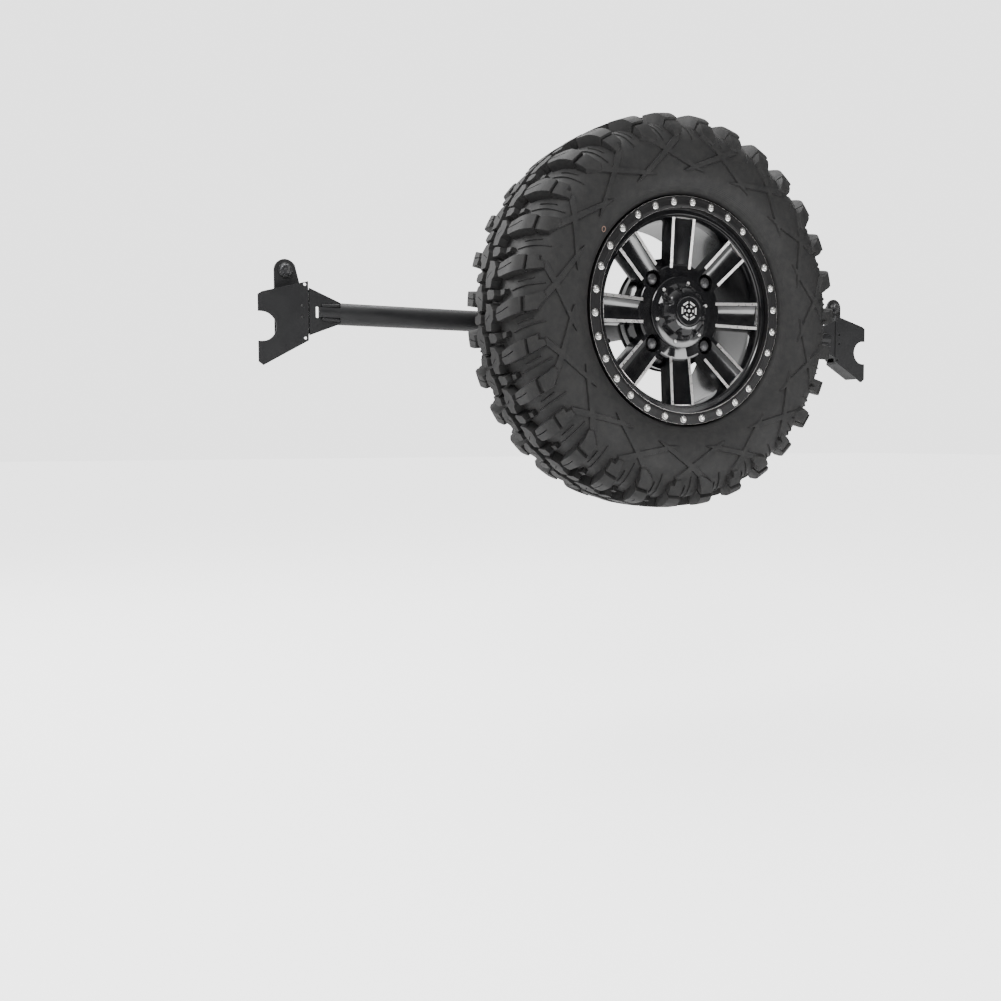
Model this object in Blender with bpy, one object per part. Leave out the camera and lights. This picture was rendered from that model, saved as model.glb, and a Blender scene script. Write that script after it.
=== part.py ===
"""Spare tire carrier for the rear roll cage of a side-by-side vehicle, with its wheel.

Frame, in metres: the origin is where the crossbar's axis meets the wheel's axis.
X runs to the right as seen from behind the vehicle, +Y runs forward to the cab
and +Z runs up, so the wheel hangs behind the crossbar and faces -Y.
"""

import math

import bmesh
import bpy
from mathutils import Vector

# --- Driving dimensions -----------------------------------------------------------
GAP = 0.0003                    # between pieces that are welded, pressed or bolted together
RUNNING_GAP = 0.0004            # round a thread that turns

TUBE_RADIUS = 0.01905           # 1.5 inch crossbar
TUBE_WALL = 0.003
TUBE_HALF = 0.538               # half the crossbar's round length
TONGUE_HALF = 0.575             # half its length over the end tongues
TONGUE_HEIGHT = 0.017

PLATE = 0.004                   # sheet that the brackets are folded from
PLATE_REAR = -0.0130            # rear face of the brackets' main plates
BRACKET_INNER = 0.593
BRACKET_OUTER = 0.679
FLANGE_DEPTH = 0.033            # how far the folded edges reach forward of the plate
TAB_THICKNESS = 0.005
TAB_BOLT_X = 0.623
TAB_BOLT_HEIGHTS = {"upper": 0.074, "lower": -0.036}
CAGE_TAB = 0.0055               # room for the cage's own tab under each nut

HUB_FACE = -0.2150              # where the wheel's mounting pad meets the hub plate
HUB_PLATE = 0.006
LUG_RADIUS = 0.078              # four lugs on a 156 mm circle
LUG_ANGLES = (45.0, 135.0, 225.0, 315.0)
STUD_RADIUS = 0.006
STANDOFF_RADIUS = 0.030
STANDOFF_WALL = 0.0032

WHEEL_CENTRE = -0.187           # the tyre's middle plane
TYRE_RADIUS = 0.343             # 27 inch tyre, 9 inches wide, on a 14 inch rim
TYRE_HALF_WIDTH = 0.115
RIM_SEAT = 0.1775
BARREL_RADIUS = 0.165           # inside the barrel's front, where the spokes end
SPOKE_HALF_WIDTH = 0.0215       # at the hub
SPOKE_FLARE = 0.03              # gain in half width for each metre outwards
RING_FACE = -0.285              # rear face of the clamp ring
RING_BOLTS = 30
RING_BOLT_RADIUS = 0.186
RING_FIRST_ANGLE = -9.5
SPOKES = 8
POCKET_RADIUS = 0.0145
LUG_SEAT = -0.229               # floor of the lug pockets
CAP_BACK = -0.2620
CAP_SCREWS = 6
CAP_SCREW_RADIUS = 0.0525
CAP_FIRST_SCREW = 15.0
VALVE_ANGLE = 247.5
VALVE_Y = -0.2225

WHEEL_STEPS = 48                # facets round the wheel's large turned pieces
TUBE_STEPS = 24
SMALL_STEPS = 12
FORWARD = (0.0, 1.0, 0.0)
REARWARD = (0.0, -1.0, 0.0)

MATERIALS = {                   # colour, roughness, metallic
    "powder_coat": ((0.022, 0.022, 0.024), 0.55, 0.2),
    "gloss_black": ((0.012, 0.012, 0.013), 0.18, 0.3),
    "satin_black": ((0.030, 0.029, 0.031), 0.42, 0.3),
    "tyre_rubber": ((0.045, 0.045, 0.047), 0.80, 0.0),
    "zinc_bolt": ((0.62, 0.62, 0.60), 0.30, 1.0),
    "black_bolt": ((0.035, 0.035, 0.036), 0.45, 0.8),
    "cap_plastic": ((0.015, 0.015, 0.016), 0.15, 0.0),
    "valve_rubber": ((0.020, 0.020, 0.020), 0.70, 0.0),
}


# --- Helpers ----------------------------------------------------------------------
def polar(radius, degrees):
    """Point in the wheel's plane, by its angle clockwise from the top seen from behind."""
    angle = math.radians(degrees)
    return radius * math.sin(angle), radius * math.cos(angle)


def turn(bm, profile, origin, axis, steps, first=0.0):
    """Revolve (radius, height) points about an axis. Radius 0 closes the shape on it."""
    turned = Vector(axis).to_track_quat("Z", "Y")
    rows = []
    for radius, height in profile:
        row = []
        for step in range(steps if radius else 1):
            angle = first + 2 * math.pi * step / steps
            local = Vector((radius * math.cos(angle), radius * math.sin(angle), height))
            row.append(bm.verts.new(Vector(origin) + turned @ local))
        rows.append(row)
    following = rows[1:] + (rows[:1] if profile[0][0] else [])
    for row, other in zip(rows, following):
        for step in range(steps):
            after = (step + 1) % steps
            corners = [row[step % len(row)], row[after % len(row)]]
            corners += [other[after % len(other)], other[step % len(other)]]
            bm.faces.new(dict.fromkeys(corners))


def rod(bm, radius, origin, axis, start, end, steps=SMALL_STEPS, first=0.0):
    """A plain cylinder or, with few steps, a hexagon bar."""
    turn(bm, [(0.0, start), (radius, start), (radius, end), (0.0, end)], origin, axis, steps, first)


def prism(bm, outline, start, end, axes="xz"):
    """Extrude a flat outline along the axis that it doesn't use."""
    along = "xyz".index(({"x", "y", "z"} - set(axes)).pop())
    rows = []
    for depth in (start, end):
        row = []
        for point in outline:
            place = [0.0, 0.0, 0.0]
            place["xyz".index(axes[0])] = point[0]
            place["xyz".index(axes[1])] = point[1]
            place[along] = depth
            row.append(bm.verts.new(place))
        bm.faces.new(row)
        rows.append(row)
    count = len(outline)
    for index in range(count):
        after = (index + 1) % count
        bm.faces.new((rows[0][index], rows[0][after], rows[1][after], rows[1][index]))


def arc(centre, radius, start, end, steps):
    """Points on an arc, by angles in degrees from +X towards +Z."""
    points = []
    for step in range(steps + 1):
        angle = math.radians(start + (end - start) * step / steps)
        points.append((centre[0] + radius * math.cos(angle), centre[1] + radius * math.sin(angle)))
    return points


def mirrored(outline, side):
    """The outline as it is on the right side, or flipped for the left."""
    return [(side * x, z) for x, z in outline]


def make_material(slot):
    colour, roughness, metallic = MATERIALS[slot]
    material = bpy.data.materials.new(slot)
    material.use_nodes = True
    shader = material.node_tree.nodes["Principled BSDF"]
    shader.inputs["Base Color"].default_value = (*colour, 1.0)
    shader.inputs["Roughness"].default_value = roughness
    shader.inputs["Metallic"].default_value = metallic
    return material


def make_object(name, bm):
    bmesh.ops.recalc_face_normals(bm, faces=bm.faces)
    mesh = bpy.data.meshes.new(name)
    bm.to_mesh(mesh)
    bm.free()
    piece = bpy.data.objects.new(name, mesh)
    bpy.context.scene.collection.objects.link(piece)
    return piece


def add_piece(name, bm, slot, body, pivot=(0.0, 0.0, 0.0)):
    """Link a solid drawn in world coordinates, with its origin moved to the pivot."""
    bmesh.ops.translate(bm, verts=bm.verts, vec=-Vector(pivot))
    piece = make_object(name, bm)
    piece.data.materials.append(materials[slot])
    piece.data.shade_smooth()
    piece.data.set_sharp_from_angle(angle=math.radians(35))
    piece.parent = body
    piece.location = Vector(pivot) - body.location
    return piece


def combine(piece, operation, bm, pivot=(0.0, 0.0, 0.0)):
    """Cut from a piece, or weld to it, a solid that is drawn in world coordinates."""
    bmesh.ops.translate(bm, verts=bm.verts, vec=-Vector(pivot))
    tool = make_object(f"{piece.name}_{operation.lower()}_{len(piece.modifiers) + 1}", bm)
    tool.location = pivot
    tool.hide_render = True
    tool.display_type = "WIRE"
    modifier = piece.modifiers.new(tool.name, "BOOLEAN")
    modifier.operation = operation
    modifier.solver = "EXACT"
    modifier.object = tool


def add_body(name, location=(0.0, 0.0, 0.0)):
    body = bpy.data.objects.new(name, None)
    body.location = location
    body.empty_display_size = 0.05
    bpy.context.scene.collection.objects.link(body)
    return body


# --- Carrier frame ----------------------------------------------------------------
def make_crossbar(body):
    """Round tube whose rear wall runs on at both ends as a narrow tongue."""
    inner = TUBE_RADIUS - TUBE_WALL
    bm = bmesh.new()
    profile = [(inner, -TUBE_HALF), (TUBE_RADIUS, -TUBE_HALF), (TUBE_RADIUS, TUBE_HALF), (inner, TUBE_HALF)]
    turn(bm, profile, (0, 0, 0), (1, 0, 0), TUBE_STEPS)
    crossbar = add_piece("crossbar", bm, "powder_coat", body)
    half_angle = math.degrees(math.asin(TONGUE_HEIGHT / 2 / TUBE_RADIUS))
    front = PLATE_REAR - GAP
    section = arc((0, 0), TUBE_RADIUS - 0.0002, 180 - half_angle, 180 + half_angle, 4)
    section += [(front, -TONGUE_HEIGHT / 2), (front, TONGUE_HEIGHT / 2)]
    tongues = bmesh.new()
    for side in (-1, 1):
        prism(tongues, section, side * (TUBE_HALF - 0.006), side * TONGUE_HALF, "yz")
    combine(crossbar, "UNION", tongues)


def make_gusset(side_name, side, body):
    """Flat trapezoid that spreads the crossbar's end over the bracket's height."""
    near, far = TUBE_HALF + GAP, BRACKET_INNER - GAP
    outline = [(near, -TUBE_RADIUS), (far, -0.040), (far, 0.041), (near, TUBE_RADIUS)]
    bm = bmesh.new()
    prism(bm, mirrored(outline, side), PLATE_REAR, PLATE_REAR + PLATE)
    gusset = add_piece(f"{side_name}_gusset", bm, "powder_coat", body)
    slot = [(TONGUE_HALF, -0.0095), (0.580, -0.0095), (0.580, 0.0095), (TONGUE_HALF, 0.0095)]
    cutter = bmesh.new()
    prism(cutter, mirrored(slot, side), PLATE_REAR - 0.004, PLATE_REAR + 0.008)
    combine(gusset, "DIFFERENCE", cutter)


def bracket_outline():
    """Main plate of a bracket, right side: sloped top and bottom, half-round notch outside."""
    notch_centre = (BRACKET_OUTER - 0.006, -0.0275)
    notch = arc(notch_centre, 0.025, 90, 270, 12)
    outline = [(BRACKET_INNER, -0.049), (BRACKET_INNER, 0.052)]
    outline += [(0.672, 0.0305), (BRACKET_OUTER, 0.026)]
    outline += [(BRACKET_OUTER, notch[0][1])] + notch + [(BRACKET_OUTER, notch[-1][1])]
    outline += [(BRACKET_OUTER, -0.087), (0.671, -0.093)]
    return outline


def make_bracket(side_name, side, body):
    """Folded plate: a main face with its top, bottom and inner edges bent forward."""
    front = PLATE_REAR + PLATE
    bm = bmesh.new()
    prism(bm, mirrored(bracket_outline(), side), PLATE_REAR, front)
    bracket = add_piece(f"{side_name}_bracket_plate", bm, "powder_coat", body)
    top = [(0.602, 0.0492), (0.660, 0.0334), (0.660, 0.0294), (0.602, 0.0452)]
    bottom = [(0.602, -0.0538), (0.660, -0.0865), (0.660, -0.0820), (0.602, -0.0493)]
    inside = [(0.5934, -0.041), (0.5974, -0.041), (0.5974, 0.043), (0.5934, 0.043)]
    flanges = bmesh.new()
    for edge in (top, bottom, inside):
        prism(flanges, mirrored(edge, side), front - 0.002, front + FLANGE_DEPTH)
    combine(bracket, "UNION", flanges)
    holes = bmesh.new()
    for height in (-0.010, 0.010):
        rod(holes, 0.00225, (side * 0.604, 0, height), FORWARD, PLATE_REAR - 0.004, front + 0.004, 8)
    for height in (-0.0445, 0.0465):
        rod(holes, 0.0030, (side * 0.5985, 0, height), FORWARD, PLATE_REAR - 0.004, front + 0.001, 8)
    combine(bracket, "DIFFERENCE", holes)


def make_mount_tab(side_name, side, body):
    """Arched plate behind the bracket that takes the two cage bolts."""
    rear = PLATE_REAR + PLATE + FLANGE_DEPTH + GAP
    upper = (TAB_BOLT_X, TAB_BOLT_HEIGHTS["upper"])
    lower = (TAB_BOLT_X, TAB_BOLT_HEIGHTS["lower"])
    outline = arc(upper, 0.0195, 0, 150, 10) + [(0.598, 0.052), (0.6035, 0.045)]
    outline += arc(lower, 0.0195, 180, 360, 10)
    bm = bmesh.new()
    prism(bm, mirrored(outline, side), rear, rear + TAB_THICKNESS)
    for height in (-0.015, 0.045):
        everything = bm.verts[:] + bm.edges[:] + bm.faces[:]
        bmesh.ops.bisect_plane(bm, geom=everything, plane_co=(0, 0, height), plane_no=(0, 0, 1))
    tab = add_piece(f"{side_name}_mount_tab", bm, "powder_coat", body)
    holes = bmesh.new()
    for height in TAB_BOLT_HEIGHTS.values():
        rod(holes, 0.0055, (side * TAB_BOLT_X, 0, height), FORWARD, rear - 0.004, rear + 0.010)
    combine(tab, "DIFFERENCE", holes)


def make_tab_fastener(side_name, side, level, body):
    """M10 flange bolt with its washer behind the tab, and the nut past the cage's own tab."""
    tab_rear = PLATE_REAR + PLATE + FLANGE_DEPTH + GAP
    tab_front = tab_rear + TAB_THICKNESS
    place = (side * TAB_BOLT_X, 0, TAB_BOLT_HEIGHTS[level])
    washer_front = tab_rear - GAP
    washer_rear = washer_front - 0.002
    washer = bmesh.new()
    ring = [(0.0053, washer_rear), (0.0125, washer_rear), (0.0125, washer_front), (0.0053, washer_front)]
    turn(washer, ring, place, FORWARD, SMALL_STEPS)
    add_piece(f"{side_name}_{level}_washer", washer, "black_bolt", body)

    head_front = washer_rear - GAP
    bolt = bmesh.new()
    profile = [(0.0, head_front - 0.0015), (0.0105, head_front - 0.0015), (0.0105, head_front)]
    profile += [(0.0049, head_front), (0.0049, tab_front + CAGE_TAB + 0.0125)]
    profile += [(0.0, tab_front + CAGE_TAB + 0.0125)]
    turn(bolt, profile, place, FORWARD, SMALL_STEPS)
    piece = add_piece(f"{side_name}_{level}_bolt", bolt, "black_bolt", body)
    head = bmesh.new()
    rod(head, 0.0092, place, FORWARD, head_front - 0.0070, head_front - 0.0010, 6)
    combine(piece, "UNION", head)

    nut_rear = tab_front + CAGE_TAB
    nut = bmesh.new()
    rod(nut, 0.0098, place, FORWARD, nut_rear, nut_rear + 0.009, 6)
    piece = add_piece(f"{side_name}_{level}_nut", nut, "black_bolt", body)
    bore = bmesh.new()
    rod(bore, 0.0053, place, FORWARD, nut_rear - 0.004, nut_rear + 0.014)
    combine(piece, "DIFFERENCE", bore)


# --- Standoff and hub -------------------------------------------------------------
def make_standoff(body):
    """Tube coped over the crossbar, which holds the hub plate clear behind it."""
    inner = STANDOFF_RADIUS - STANDOFF_WALL
    rear = HUB_FACE + HUB_PLATE + GAP
    bm = bmesh.new()
    profile = [(inner, rear), (STANDOFF_RADIUS, rear), (STANDOFF_RADIUS, -0.004), (inner, -0.004)]
    turn(bm, profile, (0, 0, 0), FORWARD, TUBE_STEPS)
    tube = add_piece("standoff_tube", bm, "powder_coat", body)
    cope = bmesh.new()
    rod(cope, TUBE_RADIUS + GAP, (0, 0, 0), (1, 0, 0), -0.060, 0.060, TUBE_STEPS)
    combine(tube, "DIFFERENCE", cope)


def make_standoff_ribs(body):
    """Four plates that brace the hub plate: two back to the crossbar, two to the tube."""
    rear = HUB_FACE + HUB_PLATE + GAP
    root = STANDOFF_RADIUS + GAP
    bar = -TUBE_RADIUS - GAP
    half = 0.0025
    for name, side in (("left", -1), ("right", 1)):
        outline = [(root, rear), (0.082, rear), (0.082, rear + 0.012)]
        outline += [(0.118, bar - 0.008), (0.118, bar), (root, bar)]
        bm = bmesh.new()
        prism(bm, mirrored(outline, side), -half, half, "xy")
        add_piece(f"{name}_standoff_rib", bm, "powder_coat", body)
    for name, side in (("lower", -1), ("upper", 1)):
        outline = [(root, rear), (0.082, rear), (0.082, rear + 0.012), (root + 0.006, -0.105), (root, -0.105)]
        bm = bmesh.new()
        prism(bm, mirrored(outline, side), -half, half, "zy")
        add_piece(f"{name}_standoff_rib", bm, "powder_coat", body)


def make_hub_plate(body):
    """Round plate that the wheel bolts against, with a central hole into the standoff."""
    bm = bmesh.new()
    profile = [(0.018, HUB_FACE), (0.100, HUB_FACE), (0.100, HUB_FACE + HUB_PLATE), (0.018, HUB_FACE + HUB_PLATE)]
    turn(bm, profile, (0, 0, 0), FORWARD, 24)
    plate = add_piece("hub_plate", bm, "powder_coat", body)
    holes = bmesh.new()
    for angle in LUG_ANGLES:
        x, z = polar(LUG_RADIUS, angle)
        rod(holes, STUD_RADIUS + GAP, (x, 0, z), FORWARD, HUB_FACE - 0.004, HUB_FACE + 0.012, SMALL_STEPS)
    combine(plate, "DIFFERENCE", holes)


def make_wheel_stud(number, angle, body):
    """Stud pressed through the hub plate from the front, with its head against the plate."""
    x, z = polar(LUG_RADIUS, angle)
    head = HUB_FACE + HUB_PLATE + GAP
    bm = bmesh.new()
    profile = [(0.0, LUG_SEAT - 0.022), (STUD_RADIUS - 0.001, LUG_SEAT - 0.022)]
    profile += [(STUD_RADIUS, LUG_SEAT - 0.021), (STUD_RADIUS, head), (0.0095, head)]
    profile += [(0.0095, head + 0.004), (0.0, head + 0.004)]
    turn(bm, profile, (x, 0, z), FORWARD, SMALL_STEPS)
    add_piece(f"wheel_stud_{number}", bm, "zinc_bolt", body)


# --- Wheel ------------------------------------------------------------------------
def make_tyre(body):
    """Hollow casing as a turned section, open at the beads; the tread stays a plain envelope."""
    outside = [(0.1780, 0.0805), (0.1960, 0.0805), (0.2030, 0.1015), (0.2270, 0.1125)]
    outside += [(0.2560, TYRE_HALF_WIDTH), (0.3000, 0.1070), (0.3370, 0.0830), (TYRE_RADIUS, 0.0450)]
    inside = [(0.3050, 0.0600), (0.2800, 0.0920), (0.2250, 0.0950), (0.1950, 0.0670), (0.1780, 0.0640)]
    half = outside[::-1]
    section = [(radius, WHEEL_CENTRE - offset) for radius, offset in outside]
    section += [(radius, WHEEL_CENTRE + offset) for radius, offset in half]
    section += [(radius, WHEEL_CENTRE + offset) for radius, offset in inside[::-1]]
    section += [(radius, WHEEL_CENTRE - offset) for radius, offset in inside]
    bm = bmesh.new()
    turn(bm, section, (0, 0, 0), FORWARD, WHEEL_STEPS)
    add_piece("tyre", bm, "tyre_rubber", body)


def make_rim(body):
    """The rim's turned wall, which flares inwards behind the spokes, and a flange at each side."""
    lip = -0.2678
    inner_lip = -0.1062
    wall = [(BARREL_RADIUS, lip + GAP), (RIM_SEAT, lip + GAP), (RIM_SEAT, -0.2510), (0.1705, -0.2450)]
    wall += [(RIM_SEAT, -0.1250), (RIM_SEAT, inner_lip - GAP), (0.1725, inner_lip - GAP)]
    wall += [(BARREL_RADIUS, -0.2360)]
    bm = bmesh.new()
    turn(bm, wall, (0, 0, 0), FORWARD, WHEEL_STEPS)
    barrel = add_piece("rim_barrel", bm, "gloss_black", body)
    hole = bmesh.new()
    x, z = polar(1.0, VALVE_ANGLE)
    rod(hole, 0.0057, (0, VALVE_Y, 0), (x, 0, z), 0.150, 0.190)
    combine(barrel, "DIFFERENCE", hole)

    front = [(BARREL_RADIUS, -0.2763), (0.1940, -0.2763), (0.1940, lip), (BARREL_RADIUS, lip)]
    back = [(0.1725, inner_lip), (0.1950, inner_lip), (0.1900, -0.0900), (0.1725, -0.0950)]
    for name, section in (("rim_front_flange", front), ("rim_back_flange", back)):
        flange = bmesh.new()
        turn(flange, section, (0, 0, 0), FORWARD, WHEEL_STEPS)
        add_piece(name, flange, "gloss_black", body)


def make_wheel_disc(body):
    """Hub and spokes, which fill the barrel's front, with lug pockets in the diagonal spokes."""
    hub = bmesh.new()
    pad = HUB_FACE - GAP
    profile = [(0.045, pad), (0.098, pad), (0.098, -0.232), (0.086, -0.240), (0.084, -0.2612), (0.045, -0.2616)]
    turn(hub, profile, (0, 0, 0), FORWARD, 36)
    disc = add_piece("wheel_disc", hub, "gloss_black", body)

    spokes = bmesh.new()
    for number in range(SPOKES):
        spin = math.radians(number * 360 / SPOKES)
        section = [(0.070, -0.2607), (0.1675, -0.2720), (0.1675, -0.2450), (0.070, -0.2360)]
        start = len(spokes.verts)
        prism(spokes, section, -0.5, 0.5, "zy")
        spokes.verts.ensure_lookup_table()
        for vert in spokes.verts[start:]:
            half_width = SPOKE_HALF_WIDTH + SPOKE_FLARE * (vert.co.z - 0.070)
            across = math.copysign(half_width, vert.co.x)
            out = vert.co.z
            vert.co.x = across * math.cos(spin) + out * math.sin(spin)
            vert.co.z = out * math.cos(spin) - across * math.sin(spin)
    combine(disc, "UNION", spokes)

    inside = bmesh.new()
    rod(inside, BARREL_RADIUS - 0.0006, (0, 0, 0), FORWARD, -0.290, -0.200, WHEEL_STEPS)
    combine(disc, "INTERSECT", inside)

    cuts = bmesh.new()
    for angle in LUG_ANGLES:
        x, z = polar(LUG_RADIUS, angle)
        profile = [(0.0, -0.300), (POCKET_RADIUS, -0.300), (POCKET_RADIUS, LUG_SEAT), (0.0070, LUG_SEAT)]
        profile += [(0.0070, -0.200), (0.0, -0.200)]
        turn(cuts, profile, (x, 0, z), FORWARD, SMALL_STEPS)
    for x, z in cap_screw_places():
        rod(cuts, 0.0022, (x, 0, z), FORWARD, -0.300, -0.2500, 8)
    combine(disc, "DIFFERENCE", cuts)


def make_clamp_ring(body):
    """Outer ring that stands for the bead clamp, with its round of button-head bolts."""
    back = -0.2766
    bm = bmesh.new()
    profile = [(0.1745, back), (0.1955, back), (0.1955, RING_FACE), (0.1745, RING_FACE)]
    turn(bm, profile, (0, 0, 0), FORWARD, WHEEL_STEPS)
    ring = add_piece("beadlock_ring", bm, "satin_black", body)
    heads = bmesh.new()
    for number in range(RING_BOLTS):
        x, z = polar(RING_BOLT_RADIUS, RING_FIRST_ANGLE + number * 360 / RING_BOLTS)
        rod(heads, 0.0052, (x, 0, z), FORWARD, RING_FACE - 0.0025, RING_FACE + 0.002, 6)
    combine(ring, "UNION", heads)


def cap_screw_places():
    return [polar(CAP_SCREW_RADIUS, CAP_FIRST_SCREW + n * 360 / CAP_SCREWS) for n in range(CAP_SCREWS)]


def make_centre_cap(body):
    """Hollow dome on a round flange, with eight scallops round the dome."""
    back = CAP_BACK
    profile = [(0.0620, back), (0.0620, back - 0.0030), (0.0490, back - 0.0040), (0.0430, back - 0.0170)]
    profile += [(0.0340, back - 0.0235), (0.0265, back - 0.0245), (0.0265, back - 0.0225), (0.0, back - 0.0225)]
    inside = [(0.0, back - 0.0200), (0.0300, back - 0.0190), (0.0390, back)]
    bm = bmesh.new()
    turn(bm, profile[::-1] + inside[::-1], (0, 0, 0), FORWARD, 36)
    cap = add_piece("centre_cap", bm, "cap_plastic", body)
    cuts = bmesh.new()
    for number in range(8):
        x, z = polar(0.0475, 22.5 + number * 45)
        rod(cuts, 0.0070, (x, 0, z), FORWARD, back - 0.030, back - 0.0120, 10)
    for x, z in cap_screw_places():
        rod(cuts, 0.0022, (x, 0, z), FORWARD, back - 0.010, back + 0.005, 8)
    combine(cap, "DIFFERENCE", cuts)


def make_cap_fittings(body):
    """The plain disc in the middle of the cap, and the small screws of its flange."""
    face = CAP_BACK - 0.0225 - GAP
    bm = bmesh.new()
    profile = [(0.0, face), (0.0258, face), (0.0258, face - 0.0025), (0.0248, face - 0.0035), (0.0, face - 0.0035)]
    turn(bm, profile, (0, 0, 0), FORWARD, 24)
    add_piece("cap_badge", bm, "satin_black", body)
    seat = CAP_BACK - 0.0040 - GAP
    for number, (x, z) in enumerate(cap_screw_places(), 1):
        screw = bmesh.new()
        profile = [(0.0, seat - 0.0020), (0.0020, seat - 0.0020), (0.0034, seat - 0.0008), (0.0034, seat)]
        profile += [(0.0018, seat), (0.0018, CAP_BACK + 0.008), (0.0, CAP_BACK + 0.008)]
        turn(screw, profile, (x, 0, z), FORWARD, 8)
        add_piece(f"cap_screw_{number}", screw, "zinc_bolt", body)


def make_lug_nut(number, angle, body):
    """Closed nut with a round seat flange; it turns on its stud."""
    x, z = polar(LUG_RADIUS, angle)
    pivot = (x, LUG_SEAT, z)
    seat = LUG_SEAT - GAP
    bm = bmesh.new()
    profile = [(0.0, seat - 0.0300), (0.0065, seat - 0.0295), (0.0105, seat - 0.0260), (0.0105, seat - 0.0040)]
    profile += [(0.0125, seat - 0.0030), (0.0125, seat), (0.0, seat)]
    turn(bm, profile, (x, 0, z), FORWARD, SMALL_STEPS)
    nut = add_piece(f"lug_nut_{number}", bm, "black_bolt", body, pivot)
    bore = bmesh.new()
    rod(bore, STUD_RADIUS + RUNNING_GAP, (x, 0, z), FORWARD, seat - 0.0245, seat + 0.004, SMALL_STEPS)
    combine(nut, "DIFFERENCE", bore, pivot)


def make_valve(body, cap_body):
    """Rubber snap-in valve through the rim's barrel, and its screw cap."""
    x, z = polar(1.0, VALVE_ANGLE)
    inward = (-x, 0.0, -z)
    origin = (0, VALVE_Y, 0)
    bm = bmesh.new()
    profile = [(0.0, -0.1780), (0.0080, -0.1780), (0.0085, -0.1745), (0.0050, -0.1724), (0.0050, -0.1645)]
    profile += [(0.0075, -0.1625), (0.0055, -0.1480), (0.0026, -0.1440), (0.0026, -0.1330), (0.0, -0.1330)]
    turn(bm, profile, origin, inward, 10)
    add_piece("valve_stem", bm, "valve_rubber", body)
    pivot = (x * 0.1380, VALVE_Y, z * 0.1380)
    cap = bmesh.new()
    profile = [(0.0, -0.1300), (0.0036, -0.1300), (0.0043, -0.1312), (0.0043, -0.1435)]
    profile += [(0.0030, -0.1435), (0.0030, -0.1325), (0.0, -0.1325)]
    turn(cap, profile, origin, inward, 10)
    add_piece("valve_cap", cap, "cap_plastic", cap_body, pivot)


# --- Assembly ---------------------------------------------------------------------
for old in list(bpy.data.objects):
    bpy.data.objects.remove(old)
materials = {slot: make_material(slot) for slot in MATERIALS}

carrier = add_body("carrier_frame")
make_crossbar(carrier)
for side_word, side_sign in (("left", -1), ("right", 1)):
    make_gusset(side_word, side_sign, carrier)
    make_bracket(side_word, side_sign, carrier)
    make_mount_tab(side_word, side_sign, carrier)
    for level_word in TAB_BOLT_HEIGHTS:
        make_tab_fastener(side_word, side_sign, level_word, carrier)
make_standoff(carrier)
make_standoff_ribs(carrier)
make_hub_plate(carrier)
for stud_number, stud_angle in enumerate(LUG_ANGLES, 1):
    make_wheel_stud(stud_number, stud_angle, carrier)

wheel = add_body("wheel_slide", (0.0, HUB_FACE, 0.0))
make_tyre(wheel)
make_rim(wheel)
make_wheel_disc(wheel)
make_clamp_ring(wheel)
make_centre_cap(wheel)
make_cap_fittings(wheel)
for nut_number, nut_angle in enumerate(LUG_ANGLES, 1):
    make_lug_nut(nut_number, nut_angle, wheel)
make_valve(wheel, wheel)
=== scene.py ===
"""Looks of the spare tire carrier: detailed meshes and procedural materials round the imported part.

Metres, in the part's frame: X along the crossbar, +Y forward to the cab, +Z up. The wheel's
axis is the Y axis and its outer face looks along -Y.
"""

import math

import bmesh
import bpy
import numpy as np
from mathutils import Euler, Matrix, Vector
from mathutils.geometry import delaunay_2d_cdt


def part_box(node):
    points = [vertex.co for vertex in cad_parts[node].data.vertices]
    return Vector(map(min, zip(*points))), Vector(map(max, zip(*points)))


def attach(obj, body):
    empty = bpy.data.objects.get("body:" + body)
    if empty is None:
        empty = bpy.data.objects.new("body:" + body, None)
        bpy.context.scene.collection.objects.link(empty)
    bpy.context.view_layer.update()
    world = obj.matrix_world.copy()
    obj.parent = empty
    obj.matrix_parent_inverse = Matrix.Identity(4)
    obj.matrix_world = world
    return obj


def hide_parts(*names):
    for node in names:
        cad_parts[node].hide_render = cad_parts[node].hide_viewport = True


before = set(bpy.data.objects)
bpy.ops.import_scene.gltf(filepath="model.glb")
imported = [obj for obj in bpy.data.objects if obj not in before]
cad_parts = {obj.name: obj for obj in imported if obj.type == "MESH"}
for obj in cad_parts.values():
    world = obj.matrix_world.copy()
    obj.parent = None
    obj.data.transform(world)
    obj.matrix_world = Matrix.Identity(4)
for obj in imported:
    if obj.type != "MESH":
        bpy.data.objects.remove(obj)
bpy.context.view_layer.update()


# --- Places read from the frame -----------------------------------------------------
def placed(node):
    """The low corner, the high corner and the middle of a CAD node's box."""
    low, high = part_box(node)
    return low, high, (low + high) / 2


def centre(node):
    return placed(node)[2]


TYRE_LOW, TYRE_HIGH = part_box("tyre")
RING_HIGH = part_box("beadlock_ring")[1]
BARREL_LOW, BARREL_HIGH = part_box("rim_barrel")
DISC_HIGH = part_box("wheel_disc")[1]
CAP_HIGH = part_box("centre_cap")[1]
BADGE_LOW, BADGE_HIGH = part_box("cap_badge")
WHEEL_MIDDLE = (TYRE_LOW.y + TYRE_HIGH.y) / 2
FORWARD = (0.0, 1.0, 0.0)
SIDES = ("left", "right")
LEVELS = ("upper", "lower")


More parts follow.
